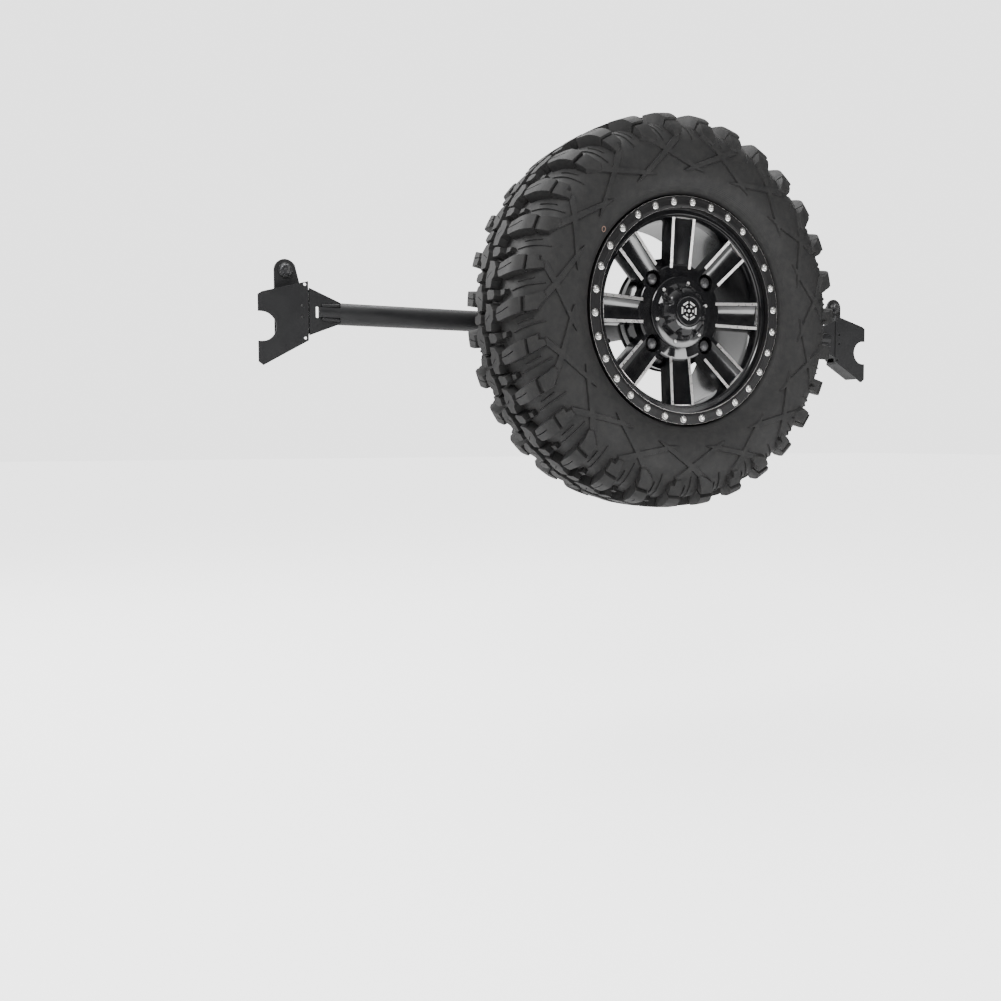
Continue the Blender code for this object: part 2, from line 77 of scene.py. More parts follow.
# --- Materials ----------------------------------------------------------------------
class Shader:
    """A Principled material, with short calls for the nodes that drive it."""

    def __init__(self, name, colour, roughness, metallic=0.0, coat=0.0, specular=0.5):
        self.material = bpy.data.materials.new(name)
        self.material.use_nodes = True
        self.nodes = self.material.node_tree.nodes
        self.links = self.material.node_tree.links
        self.shader = self.nodes["Principled BSDF"]
        self.coords = self.nodes.new("ShaderNodeTexCoord").outputs["Object"]
        self.set("Base Color", (*colour, 1.0))
        self.set("Roughness", roughness)
        self.set("Metallic", metallic)
        self.set("Coat Weight", coat)
        self.set("Coat Roughness", 0.08)
        self.set("Specular IOR Level", specular)
        self.normal = None

    def set(self, socket, value):
        self.shader.inputs[socket].default_value = value

    def node(self, kind, inputs=None, **settings):
        made = self.nodes.new(kind)
        for name, value in settings.items():
            setattr(made, name, value)
        for name, value in (inputs or {}).items():
            if isinstance(value, bpy.types.NodeSocket):
                self.links.new(value, made.inputs[name])
            else:
                made.inputs[name].default_value = value
        return made

    def math(self, operation, first, second=0.0):
        return self.node("ShaderNodeMath", {0: first, 1: second}, operation=operation).outputs[0]

    def noise(self, scale, detail=4.0, roughness=0.55):
        inputs = {"Vector": self.coords, "Scale": scale, "Detail": detail, "Roughness": roughness}
        return self.node("ShaderNodeTexNoise", inputs).outputs["Fac"]

    def span(self, value, low, high, out_low, out_high):
        """Map a value's range onto another, clamped."""
        inputs = {"Value": value, "From Min": low, "From Max": high, "To Min": out_low, "To Max": out_high}
        return self.node("ShaderNodeMapRange", inputs).outputs[0]

    def mix(self, factor, first, second):
        made = self.node("ShaderNodeMix", data_type="RGBA")
        self.links.new(factor, made.inputs["Factor"])
        for socket, value in ((made.inputs[6], first), (made.inputs[7], second)):
            if isinstance(value, bpy.types.NodeSocket):
                self.links.new(value, socket)
            else:
                socket.default_value = (*value, 1.0)
        return made.outputs[2]

    def drive(self, socket, value):
        self.links.new(value, self.shader.inputs[socket])

    def bump(self, height, distance, strength=1.0):
        """Stack another layer of bump, its height in metres times the distance."""
        inputs = {"Height": height, "Distance": distance, "Strength": strength}
        if self.normal is not None:
            inputs["Normal"] = self.normal
        self.normal = self.node("ShaderNodeBump", inputs).outputs[0]
        self.links.new(self.normal, self.shader.inputs["Normal"])

    def radius(self):
        """Distance from the wheel's axis."""
        parts = self.node("ShaderNodeSeparateXYZ", {0: self.coords})
        x_squared = self.math("POWER", self.math("ABSOLUTE", parts.outputs[0]), 2.0)
        z_squared = self.math("POWER", self.math("ABSOLUTE", parts.outputs[2]), 2.0)
        return self.math("SQRT", self.math("ADD", x_squared, z_squared))

    def rings(self, frequency):
        """Fine rings about the wheel's axis."""
        return self.math("SINE", self.math("MULTIPLY", self.radius(), frequency))

    def vary(self, tint, dark, light, patches, smooth, dull):
        """Mottle the colour between two tones, and the roughness between two values."""
        self.drive("Base Color", self.mix(tint, dark, light))
        self.drive("Roughness", self.span(patches, 0.3, 0.7, smooth, dull))

    def grain(self, *layers):
        """Stack bumps of fine noise, each as (scale, distance, strength)."""
        for scale, distance, strength in layers:
            self.bump(self.noise(scale, 2.0), distance, strength)


def powder_coat():
    """Satin black powder coat: fine orange peel, slight dust and wear in the sheen."""
    made = Shader("powder_coat", (0.012, 0.012, 0.013), 0.5, specular=0.42)
    dark, light = (0.009, 0.009, 0.010), (0.018, 0.018, 0.019)
    made.vary(made.noise(9.0), dark, light, made.noise(35.0, 6.0), 0.40, 0.56)
    made.grain((900.0, 0.0002, 0.35), (160.0, 0.0003, 0.15))
    return made.material


def gloss_black():
    """Gloss black lacquer over a casting: nearly smooth, with a trace of dust and ripple."""
    made = Shader("gloss_black", (0.006, 0.006, 0.007), 0.14, coat=0.6)
    dust = made.span(made.noise(60.0, 8.0, 0.7), 0.45, 0.75, 0.0, 1.0)
    dark, light = (0.005, 0.005, 0.006), (0.016, 0.016, 0.016)
    made.vary(dust, dark, light, made.noise(25.0, 5.0), 0.10, 0.22)
    made.grain((120.0, 0.0002, 0.08))
    return made.material


def satin_black():
    """Satin black coat on the turned ring, with faint concentric tool lines."""
    made = Shader("satin_black", (0.008, 0.008, 0.008), 0.34, specular=0.3)
    dark, light = (0.006, 0.006, 0.006), (0.013, 0.012, 0.013)
    made.vary(made.noise(45.0, 5.0), dark, light, made.noise(80.0, 5.0), 0.36, 0.50)
    made.bump(made.rings(9000.0), 0.00003, 0.25)
    made.grain((700.0, 0.0001, 0.25))
    return made.material


def machined_aluminium():
    """Bright turned aluminium: fine arcs left by the tool, under clear lacquer. It also colours the thin
    strips that are painted highlights on the clamp ring's edges and the spokes' outer ends.
    """
    made = Shader("machined_aluminium", (0.72, 0.70, 0.69), 0.30, metallic=1.0)
    dark, light = (0.60, 0.58, 0.57), (0.86, 0.84, 0.83)
    made.vary(made.noise(70.0), dark, light, made.noise(260.0, 3.0), 0.24, 0.40)
    made.bump(made.rings(11000.0), 0.00004, 0.4)
    return made.material


def tyre_rubber():
    """Moulded rubber: matte, slightly mottled, with fine rings moulded in by the bead."""
    made = Shader("tyre_rubber", (0.014, 0.014, 0.015), 0.6, specular=0.38)
    mottle = made.noise(14.0, 8.0, 0.65)
    grime = made.span(made.noise(70.0, 8.0, 0.7), 0.35, 0.75, 0.0, 1.0)
    base = made.mix(mottle, (0.010, 0.010, 0.011), (0.019, 0.019, 0.019))
    made.vary(grime, base, (0.028, 0.027, 0.026), mottle, 0.52, 0.72)
    near_bead = made.span(made.radius(), 0.216, 0.222, 1.0, 0.0)
    made.bump(made.math("MULTIPLY", made.rings(2500.0), near_bead), 0.0002, 0.35)
    made.grain((1500.0, 0.0001, 0.3))
    made.bump(made.noise(90.0), 0.0004, 0.2)
    return made.material


def zinc_bolt():
    """Bright zinc plate, a little uneven in tone."""
    made = Shader("zinc_bolt", (0.72, 0.71, 0.69), 0.28, metallic=1.0)
    dark, light = (0.62, 0.61, 0.59), (0.82, 0.81, 0.80)
    made.vary(made.noise(180.0), dark, light, made.noise(420.0, 3.0), 0.18, 0.36)
    made.grain((900.0, 0.00005, 0.3))
    return made.material


def black_bolt():
    """Black oxide steel: dark, with a dull metallic shine and lighter rubbed spots."""
    made = Shader("black_bolt", (0.090, 0.090, 0.094), 0.38, metallic=0.75)
    rubbed = made.span(made.noise(240.0, 5.0), 0.5, 0.75, 0.0, 1.0)
    dark, light = (0.070, 0.070, 0.074), (0.200, 0.198, 0.192)
    made.vary(rubbed, dark, light, made.noise(300.0), 0.30, 0.48)
    made.grain((1100.0, 0.00006, 0.3))
    return made.material


def cap_plastic():
    """Glossy black plastic."""
    made = Shader("cap_plastic", (0.008, 0.008, 0.009), 0.12, coat=0.4)
    dark, light = (0.006, 0.006, 0.007), (0.014, 0.014, 0.015)
    made.vary(made.noise(50.0, 6.0), dark, light, made.noise(90.0, 5.0), 0.09, 0.20)
    made.grain((250.0, 0.0001, 0.06))
    return made.material


def valve_rubber():
    """Smooth dull rubber."""
    made = Shader("valve_rubber", (0.020, 0.020, 0.020), 0.6)
    dark, light = (0.015, 0.015, 0.015), (0.030, 0.030, 0.030)
    made.vary(made.noise(200.0), dark, light, made.noise(150.0), 0.5, 0.7)
    made.grain((1300.0, 0.0001, 0.3))
    return made.material


def marking_paint(name, colour):
    made = Shader(name, colour, 0.5)
    darker = tuple(0.8 * part for part in colour)
    made.drive("Base Color", made.mix(made.noise(300.0), darker, colour))
    made.grain((800.0, 0.00005, 0.3))
    return made.material


COATS = (powder_coat, gloss_black, satin_black, machined_aluminium, tyre_rubber, zinc_bolt, black_bolt,
         cap_plastic, valve_rubber)
MATERIALS = {coat.__name__: coat() for coat in COATS}
WHITE_PAINT = marking_paint("white_paint", (0.70, 0.70, 0.69))
DOT_PAINT = marking_paint("dot_paint", (0.34, 0.20, 0.15))


# --- Mesh helpers -------------------------------------------------------------------
MERGE_DISTANCE = 0.00002        # corners closer than this are one corner


def polar(radius, degrees):
    """Point in the wheel's plane, by its angle clockwise from the top seen from behind."""
    angle = math.radians(degrees)
    return radius * math.sin(angle), radius * math.cos(angle)


def turn(bm, profile, origin, axis, steps, shape=None, first=0.0):
    """Revolve (radius, height) points about an axis; shape(radius, height, angle) may bend them."""
    turned = Vector(axis).to_track_quat("Z", "Y")
    rows = []
    for radius, height in profile:
        row = []
        for step in range(steps if radius else 1):
            angle = first + 2 * math.pi * step / steps
            out, along = shape(radius, height, angle) if shape else (radius, height)
            local = Vector((out * math.cos(angle), out * math.sin(angle), along))
            row.append(bm.verts.new(Vector(origin) + turned @ local))
        rows.append(row)
    following = rows[1:] + (rows[:1] if profile[0][0] else [])
    for row, other in zip(rows, following):
        for step in range(steps):
            after = (step + 1) % steps
            corners = [row[step % len(row)], row[after % len(row)]]
            corners += [other[after % len(other)], other[step % len(other)]]
            bm.faces.new(dict.fromkeys(corners))


def prism(bm, outline, place, start, end):
    """Close a solid between two copies of an outline; place(point, depth) gives a corner."""
    rows = []
    for depth in (start, end):
        row = [bm.verts.new(place(point, depth)) for point in outline]
        bm.faces.new(row)
        rows.append(row)
    count = len(outline)
    for index in range(count):
        after = (index + 1) % count
        bm.faces.new((rows[0][index], rows[0][after], rows[1][after], rows[1][index]))


def round_edges(piece, width, sharp, harden=True):
    """Bevel the edges of a piece that are sharper than an angle in degrees."""
    edge = piece.modifiers.new("edges", "BEVEL")
    edge.width = width
    edge.segments = 2
    edge.limit_method = "ANGLE"
    edge.angle_limit = math.radians(sharp)
    edge.harden_normals = harden


def finish_piece(name, bm, slot, body, replaced=(), bevel=0.0, sharp=35, material=None):
    """Make the mesh an object that rides on a body and stands for the CAD nodes it names."""
    bmesh.ops.recalc_face_normals(bm, faces=bm.faces)
    mesh = bpy.data.meshes.new(name)
    bm.to_mesh(mesh)
    bm.free()
    piece = bpy.data.objects.new(name, mesh)
    bpy.context.scene.collection.objects.link(piece)
    mesh.materials.append(material or MATERIALS[slot])
    mesh.shade_smooth()
    mesh.set_sharp_from_angle(angle=math.radians(sharp))
    if bevel:
        round_edges(piece, bevel, sharp)
    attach(piece, body)
    if replaced:
        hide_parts(*replaced)
    return piece


def turned_piece(name, profile, steps, slot, body, replaced=(), origin=(0, 0, 0), axis=FORWARD, shape=None,
                 **looks):
    """A piece revolved from one profile."""
    bm = bmesh.new()
    turn(bm, profile, origin, axis, steps, shape)
    return finish_piece(name, bm, slot, body, replaced, **looks)


def in_mm(points, plane=0.0):
    """(radius, depth) pairs in mm as metres, each depth measured against the axis from a plane."""
    return [(radius / 1000, plane - depth / 1000) for radius, depth in points]


def flat_cosine(angle):
    """Cosine of the angle from the middle of a hexagon's nearest flat."""
    return math.cos((angle % (math.pi / 3)) - math.pi / 6)


def hex_rule(half, low, high):
    """A rule for turn(): between two heights, cut down to a hexagon of a half width across flats."""
    def rule(radius, height, angle):
        if low < height < high and radius > half * 0.9:
            return min(radius, half / flat_cosine(angle)), height
        return radius, height
    return rule


# --- Tyre ---------------------------------------------------------------------------
SECTORS = 15                    # the sidewall's crosses, each over two shoulder lugs
SECTOR_DEGREES = 360 / SECTORS
MM_PER_DEGREE = 5.236           # of the flat map, which is true to size at 300 mm
SECTOR_WIDTH = SECTOR_DEGREES * MM_PER_DEGREE
GRID_STEP = 5.2
GRID_CLEARANCE = 1.3            # least distance from a grid point to an outline
SEAM_CLEARANCE = 0.4            # the same along the joint of two sectors
CROSS_HALF_WIDTH = 5.4
CASING = (                      # groove floor and bead: radius, distance from the middle plane, mm
    (326.5, 0.0), (326.2, 20.0), (325.0, 42.0), (323.0, 60.0), (319.5, 75.0), (313.0, 88.0),
    (303.0, 98.5), (290.0, 106.5), (274.0, 111.5), (254.0, 113.2), (235.0, 112.4), (220.0, 109.5),
    (208.0, 104.5), (201.0, 98.0), (197.2, 89.0), (196.2, 80.0),
)
TREAD = (                       # block tops over the same stations
    (343.0, 0.0), (342.8, 20.0), (342.0, 43.0), (340.0, 64.0), (336.5, 83.0), (327.0, 97.0),
    (313.0, 107.5), (295.0, 112.5), (275.0, 115.0), (254.2, 115.7), (235.6, 114.8), (221.2, 111.7),
    (210.0, 106.0), (203.2, 99.0), (199.6, 89.6), (198.7, 80.0),
)
INSIDE = (                      # from the bead's toe up the inside, measured the same way
    (180.0, 79.4), (178.2, 76.0), (178.0, 66.0), (195.0, 67.0), (225.0, 95.0), (262.0, 97.0),
    (285.0, 90.0), (304.0, 62.0), (309.0, 25.0),
)


def through(points, places):
    """Smooth curve through points, read at fractional indices (Catmull-Rom)."""
    points = np.asarray(points, float)
    padded = np.vstack([2 * points[0] - points[1], points, 2 * points[-1] - points[-2]])
    first = np.clip(np.floor(places).astype(int), 0, len(points) - 2)
    t = (places - first)[:, None]
    p0, p1, p2, p3 = (padded[first + k] for k in range(4))
    cubic = 2 * p1 + (p2 - p0) * t + (2 * p0 - 5 * p1 + 4 * p2 - p3) * t ** 2
    return 0.5 * (cubic + (3 * p1 - p0 - 3 * p2 + p3) * t ** 3)


STATIONS = np.concatenate([[0.0], np.cumsum(np.linalg.norm(np.diff(np.array(CASING), axis=0), axis=1))])
TYRE_REACH = float(STATIONS[-1])


def from_plane(x, z):
    """A point of the sidewall, in mm in the wheel's plane, on the flat map of (around, across)."""
    radii = [radius for radius, _ in CASING]
    across = np.interp(-math.hypot(x, z), [-radius for radius in radii], STATIONS)
    return math.degrees(math.atan2(x, z)) * MM_PER_DEGREE, float(across)


def inside_distance(points, outline):
    """Distance from each point to a closed outline, negative outside it."""
    start = np.asarray(outline, float)
    end = np.roll(start, -1, axis=0)
    nearest = np.full(len(points), 1e9)
    inside = np.zeros(len(points), bool)
    for (ax, ay), (bx, by) in zip(start, end):
        edge = np.array((bx - ax, by - ay))
        offset = points - (ax, ay)
        share = np.clip(offset @ edge / (edge @ edge), 0, 1)
        nearest = np.minimum(nearest, np.hypot(*(offset - share[:, None] * edge).T))
        crosses = (ay > points[:, 1]) != (by > points[:, 1])
        if ay != by:
            inside ^= crosses & (points[:, 0] < ax + (points[:, 1] - ay) * (bx - ax) / (by - ay))
    return np.where(inside, nearest, -nearest)


def inset(outline, distance):
    """Move each side of an outline inwards, keeping its corners sharp."""
    points = np.asarray(outline, float)
    before = points - np.roll(points, 1, axis=0)
    after = np.roll(points, -1, axis=0) - points
    x, y = points.T
    turns = np.sign(np.sum(x * np.roll(y, -1) - y * np.roll(x, -1)))
    before = before / np.linalg.norm(before, axis=1)[:, None]
    after = after / np.linalg.norm(after, axis=1)[:, None]
    normal = turns * np.stack([-before[:, 1] - after[:, 1], before[:, 0] + after[:, 0]], 1)
    return points + normal * distance / np.maximum(0.35, (normal ** 2).sum(1) / 2)[:, None]


def resampled(outline, step):
    """A closed outline with more points, so that none of its sides is longer than a step."""
    points = []
    corners = [np.asarray(corner, float) for corner in outline]
    for start, end in zip(corners, corners[1:] + corners[:1]):
        parts = max(1, math.ceil(np.linalg.norm(end - start) / step))
        points += [tuple(start + (end - start) * part / parts) for part in range(parts)]
    return points


LUG_BLOCK = ([(-11.5, 46), (-1.5, 41), (11, 46), (13, 62), (13.5, 80), (13, 95), (-13, 95), (-13.5, 80),
              (-12.5, 60)], 1.0, 1.8)
LONG_LUG = (                    # outline about the lug's middle, share of the tread's depth, wall width
    LUG_BLOCK,
    ([(-13.5, 98), (12.5, 98), (13, 112), (17, 124), (9, 129), (-4, 123), (-14, 116)], 0.95, 1.4),
    ([(-11, 94), (11, 94), (11, 100), (-11, 100)], 0.62, 0.8),
)
SHORT_LUG = (
    LUG_BLOCK,
    ([(-12.5, 95), (12.5, 95), (12, 113), (-12, 113)], 0.80, 1.2),
    ([(-12, 111), (4, 111), (1, 121), (-10, 122)], 0.80, 1.0),
)
CENTRE_BLOCK = [(-22, 5), (-9, 2), (4, 3), (9, 9), (21, 8), (18, 27), (7, 37), (-7, 35), (-12, 28), (-24, 26)]
FILL_BLOCK = [(-9, 14), (4, 9), (9, 16), (6, 36), (-4, 41), (-10, 33)]
TIE_BAR = [(-6, 43), (6, 43), (4.5, 57), (-4.5, 57)]
LUG_SIPE = [(-0.7, 40), (0.7, 40), (1.7, 60), (3, 74), (1.6, 74.6), (0.3, 61)]
CENTRE_SIPE = [(-6.5, 9), (-5.3, 8.6), (1.5, 22), (0.5, 22.6)]
SIPE_WALL, SIPE_SHARE = 0.25, 0.55
GAP_RIBS = ((-1.0, 66, 126), (8.5, 78, 108))    # shift from the gap's middle, near and far end
RIB_HALF_WIDTH, RIB_RISE = 1.3, 2.2
BAR_ROWS = ((0.0, 1.0), (36.5, 0.95), (98.0, 0.80), (120.0, 0.10))   # reach, share of the width
BAR_RISE = 3.2
PROTECTOR_SPAN, PROTECTOR_RISE = (205.0, 209.0), 0.9    # thin rib round the bead
SWEEP = 15.0                    # how far the tread is carried round, full up to the start
SWEEP_START, SWEEP_END = 50.0, 118.0


def swept(outline):
    """Carry the tread's shapes anticlockwise, so that each lug sweeps round into its cross."""
    run = SWEEP_END - SWEEP_START
    return [(u - SWEEP * np.clip((SWEEP_END - t) / run, 0, 1), t) for u, t in outline]


def cross_bar(side):
    """A bar from a lug's end through the cross to a point by the bead, in mm about the cross."""
    start = np.array((30.5 * side, 289.0))
    along = np.array((-0.832 * side, -0.555))
    across = np.array((-along[1], along[0]))
    edge = [start + along * reach + across * width * CROSS_HALF_WIDTH for reach, width in BAR_ROWS]
    edge += [start + along * reach - across * width * CROSS_HALF_WIDTH for reach, width in BAR_ROWS[::-1]]
    return resampled(edge, 12.0)


def shifted(outline, middle):
    """An outline moved round to its middle, and swept with the tread."""
    return swept([(middle + u, t) for u, t in outline])


def tyre_features():
    """Raised shapes and sipes of one sector: (outline, share of depth, rise in mm, wall width)."""
    raised, sipes = [], []
    half = SECTOR_WIDTH / 2
    for lug, middle in ((LONG_LUG, half / 2), (SHORT_LUG, 1.5 * half)):
        for outline, share, wall in lug:
            raised.append((shifted(resampled(outline, 9.0), middle), share, 0.0, wall))
        gap = middle + half / 2
        for shift, near, far in GAP_RIBS:
            rib = [(shift - RIB_HALF_WIDTH, t) for t in (near, 84, 98, far)]
            rib += [(shift + RIB_HALF_WIDTH, t) for t in (far, 98, 84, near)]
            raised.append((shifted(rib, gap), 0.0, RIB_RISE, 0.8))
        raised.append((shifted(TIE_BAR, gap), 0.5, 0.0, 1.5))
        raised.append((shifted(CENTRE_BLOCK, middle), 1.0, 0.0, 1.8))
        raised.append((shifted(FILL_BLOCK, gap), 0.97, 0.0, 1.8))
        sipes += [shifted(LUG_SIPE, middle), shifted(CENTRE_SIPE, middle)]
    for side in (-1, 1):
        places = [from_plane(x, z) for x, z in cross_bar(side)]
        raised.append(([(around + half, across) for around, across in places], 0.0, BAR_RISE, 0.9))
    near, far = PROTECTOR_SPAN
    raised.append(([(-200.0, near), (400.0, near), (400.0, far), (-200.0, far)], 0.0, PROTECTOR_RISE, 0.9))
    return raised, sipes


def both_sides(raised, sipes):
    """The same shapes on the inner side, staggered by a quarter sector, and their neighbours."""
    shapes = [("raised", *shape) for shape in raised]
    shapes += [("sipe", sipe, 0.0, 0.0, SIPE_WALL) for sipe in sipes]
    made = []
    for kind, outline, share, rise, wall in shapes:
        for side, stagger in ((1, 0.0), (-1, SECTOR_WIDTH / 4)):
            for neighbour in (-1, 0, 1):
                moved = [(u + stagger + neighbour * SECTOR_WIDTH, side * t) for u, t in outline]
                around = [u for u, _ in moved]
                if max(around) > -1.0 and min(around) < SECTOR_WIDTH + 1.0:
                    made.append((kind, moved, share, rise, wall))
    return made


def sector_mesh(shapes):
    """Triangles of one sector's flat map, with an edge along every wall's foot and top."""
    columns = round(SECTOR_WIDTH / GRID_STEP)
    rows = round(2 * TYRE_REACH / GRID_STEP)
    grid = []
    for row in range(rows + 1):
        across = TYRE_REACH * (2 * row / rows - 1)
        grid += [(SECTOR_WIDTH * column / columns, across) for column in range(columns + 1)]
    grid = np.array(grid)
    clear = np.full(len(grid), 1e9)
    outlines = []
    for _, outline, _, _, wall in shapes:
        for loop in (outline, inset(outline, wall)):
            clear = np.minimum(clear, np.abs(inside_distance(grid, loop)))
            outlines.append(resampled(loop, 7.0))
    at_bead = np.abs(np.abs(grid[:, 1]) - TYRE_REACH) < 1e-6
    at_seam = (grid[:, 0] < 1e-6) | (grid[:, 0] > SECTOR_WIDTH - 1e-6)
    keep = grid[(clear > GRID_CLEARANCE) | (at_seam & (clear > SEAM_CLEARANCE)) | at_bead]
    points = [Vector(point) for point in keep]
    edges = []
    for loop in outlines:
        start = len(points)
        points += [Vector(point) for point in loop]
        edges += [(start + i, start + (i + 1) % len(loop)) for i in range(len(loop))]
    start = len(points)
    for u, t in ((0.0, -1), (SECTOR_WIDTH, -1), (SECTOR_WIDTH, 1), (0.0, 1)):
        points.append(Vector((u, t * TYRE_REACH)))
    edges += [(start + 1, start + 2), (start + 3, start)]
    flat, _, triangles, *_ = delaunay_2d_cdt(points, edges, [], 0, 1e-4)
    flat = np.array([tuple(point) for point in flat])
    triangles = np.array([triangle for triangle in triangles if len(triangle) == 3])
    middle = flat[triangles].mean(1)
    fits = (middle[:, 0] > 0) & (middle[:, 0] < SECTOR_WIDTH) & (np.abs(middle[:, 1]) < TYRE_REACH)
    return flat, triangles[fits]


def tyre_surface(flat, shapes):
    """Lift the flat map onto the casing: (radius, offset from the middle plane) in metres."""
    places = np.interp(np.abs(flat[:, 1]), STATIONS, np.arange(len(STATIONS)))
    floor = through(CASING, places)
    top = through(TREAD, places)
    depth = np.linalg.norm(top - floor, axis=1)
    height = np.zeros(len(flat))
    for kind, outline, share, rise, wall in shapes:     # every raised shape comes before the sipes
        cover = np.clip(inside_distance(flat, outline) / wall, 0, 1)
        if kind == "raised":
            height = np.maximum(height, cover * np.maximum(share * depth, rise))
        else:
            height = np.where(cover > 0, height * (1 - SIPE_SHARE * cover), height)
    lifted = floor + (top - floor) / depth[:, None] * height[:, None]
    return lifted[:, 0] / 1000, np.sign(flat[:, 1]) * lifted[:, 1] / 1000


def make_tyre():
    """The casing with its tread, sector by sector, closed on the inside from bead to bead."""
    shapes = both_sides(*tyre_features())
    flat, triangles = sector_mesh(shapes)
    radius, offset = tyre_surface(flat, shapes)
    bead = {}
    for side in (-1, 1):
        found = np.flatnonzero(np.abs(flat[:, 1] - side * TYRE_REACH) < 1e-3)
        bead[side] = found[np.argsort(flat[found, 0])]
    bm = bmesh.new()
    for sector in range(SECTORS):
        angle = np.radians(flat[:, 0] / MM_PER_DEGREE + sector * SECTOR_DEGREES)
        x, z = radius * np.sin(angle), radius * np.cos(angle)
        verts = [bm.verts.new(point) for point in zip(x, WHEEL_MIDDLE - offset, z)]
        for triangle in triangles:
            bm.faces.new([verts[index] for index in triangle])
        rows = [[verts[index] for index in bead[1]]]
        for r, w in INSIDE + tuple((r, -w) for r, w in INSIDE[::-1]):
            out, y = r / 1000, WHEEL_MIDDLE - w / 1000
            row = [(out * math.sin(a), y, out * math.cos(a)) for a in angle[bead[1]]]
            rows.append([bm.verts.new(point) for point in row])
        rows.append([verts[index] for index in bead[-1]])
        for row, after in zip(rows, rows[1:]):
            for column in range(len(row) - 1):
                bm.faces.new((row[column], row[column + 1], after[column + 1], after[column]))
    bmesh.ops.remove_doubles(bm, verts=bm.verts, dist=MERGE_DISTANCE)
    loose = [vert for vert in bm.verts if not vert.link_faces]
    bmesh.ops.delete(bm, geom=loose, context="VERTS")
    finish_piece("tyre_casing", bm, "tyre_rubber", "wheel", ["tyre"], sharp=28)


make_tyre()


# --- Wheel --------------------------------------------------------------------------
FINE_STEPS = 144
SPOKES = 8
LUG_RADIUS = math.hypot(centre("lug_nut_1").x, centre("lug_nut_1").z)
LUG_ANGLES = (45.0, 135.0, 225.0, 315.0)
LUG_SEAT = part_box("lug_nut_1")[1].y
RING_BOLTS = 30
RING_BOLT_RADIUS = 0.186
RING_FIRST_ANGLE = -9.5
RING_FACE = RING_HIGH.y - 0.0084
VALVE_ANGLE = 247.5
SPOKE_NECK = 0.070              # where a spoke's width and depth are given, near the hub
SPOKE_RUN = 0.0975              # from there to the collar
LAND_WIDTH = 0.0056             # machined line along each edge of a spoke
SPOKE_ROOT, SPOKE_TIP = 0.066, 0.1625


def make_rim():
    """The rim in one turned section: flanges, bead seats, drop centre and safety humps."""
    lip, tip = BARREL_LOW.y, BARREL_HIGH.y
    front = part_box("rim_front_flange")[0].y
    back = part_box("rim_back_flange")[1].y
    section = [(0.1655, front + 0.001), (0.1665, front), (0.1930, front), (0.1938, front + 0.001)]
    section += [(0.1938, lip - 0.002), (0.1920, lip - 0.0004), (0.1785, lip - 0.0004), (0.1774, lip + 0.001)]
    section += [(0.1774, -0.2520), (0.1768, -0.2500), (0.1712, -0.2455), (0.1706, -0.2440)]
    section += [(0.1774, -0.1260), (0.1774, tip - 0.001), (0.1785, tip + 0.0002), (0.1925, tip + 0.0002)]
    section += [(0.1950, tip + 0.0015), (0.1955, tip + 0.006), (0.1930, back - 0.0008), (0.1905, back)]
    section += [(0.1880, back - 0.0006), (0.1740, -0.0946), (0.1728, -0.0962), (0.1725, -0.1060)]
    section += [(0.1653, -0.2350), (0.1650, -0.2370)]
    nodes = ["rim_barrel", "rim_front_flange", "rim_back_flange"]
    rim = turned_piece("cast_rim", section, FINE_STEPS, "gloss_black", "wheel", nodes, sharp=40)
    hole = bmesh.new()
    x, z = polar(1.0, VALVE_ANGLE)
    profile = [(0.0, 0.150), (0.0057, 0.150), (0.0057, 0.190), (0.0, 0.190)]
    turn(hole, profile, (0, centre("valve_stem").y, 0), (x, 0, z), 24)
    subtract(rim, hole)
    clean_up(rim)


def subtract(piece, bm, operation="DIFFERENCE"):
    """Cut a drawn solid from a piece, and keep the result as its mesh."""
    bmesh.ops.recalc_face_normals(bm, faces=bm.faces)
    mesh = bpy.data.meshes.new("cutter")
    bm.to_mesh(mesh)
    bm.free()
    cutter = bpy.data.objects.new("cutter", mesh)
    bpy.context.scene.collection.objects.link(cutter)
    modifier = piece.modifiers.new("cut", "BOOLEAN")
    modifier.operation = operation
    modifier.solver = "EXACT"
    modifier.object = cutter
    while piece.modifiers[0] != modifier:
        index = list(piece.modifiers).index(modifier)
        piece.modifiers.move(index, index - 1)
    bpy.context.view_layer.update()
    with bpy.context.temp_override(object=piece, active_object=piece):
        bpy.ops.object.modifier_apply(modifier=modifier.name)
    bpy.data.objects.remove(cutter)
    piece.data.set_sharp_from_angle(angle=math.radians(35))


def clean_up(piece):
    """Join the slivers that cuts leave behind."""
    mesh = piece.data
    bm = bmesh.new()
    bm.from_mesh(mesh)
    bmesh.ops.remove_doubles(bm, verts=bm.verts, dist=MERGE_DISTANCE)
    bmesh.ops.dissolve_degenerate(bm, dist=MERGE_DISTANCE, edges=bm.edges)
    bmesh.ops.dissolve_limit(bm, angle_limit=math.radians(0.3), verts=bm.verts, edges=bm.edges)
    bmesh.ops.triangulate(bm, faces=[face for face in bm.faces if len(face.verts) > 4])
    bmesh.ops.remove_doubles(bm, verts=bm.verts, dist=MERGE_DISTANCE)
    bm.to_mesh(mesh)
    bm.free()
    mesh.set_sharp_from_angle(angle=math.radians(35))


def spoke_half_width(out):
    return 0.0215 + 0.03 * (out - SPOKE_NECK)


def spoke_front(out):
    return -0.2607 - 0.0113 * (out - SPOKE_NECK) / SPOKE_RUN


def spoke_back(out):
    return -0.2360 - 0.0090 * (out - SPOKE_NECK) / SPOKE_RUN


def loft(bm, sections):
    """Join rows of corners into a closed solid."""
    rows = [[bm.verts.new(point) for point in section] for section in sections]
    for row, after in zip(rows, rows[1:]):
        for index in range(len(row)):
            other = (index + 1) % len(row)
            bm.faces.new((row[index], row[other], after[other], after[index]))
    bm.faces.new(rows[0])
    bm.faces.new(rows[-1])


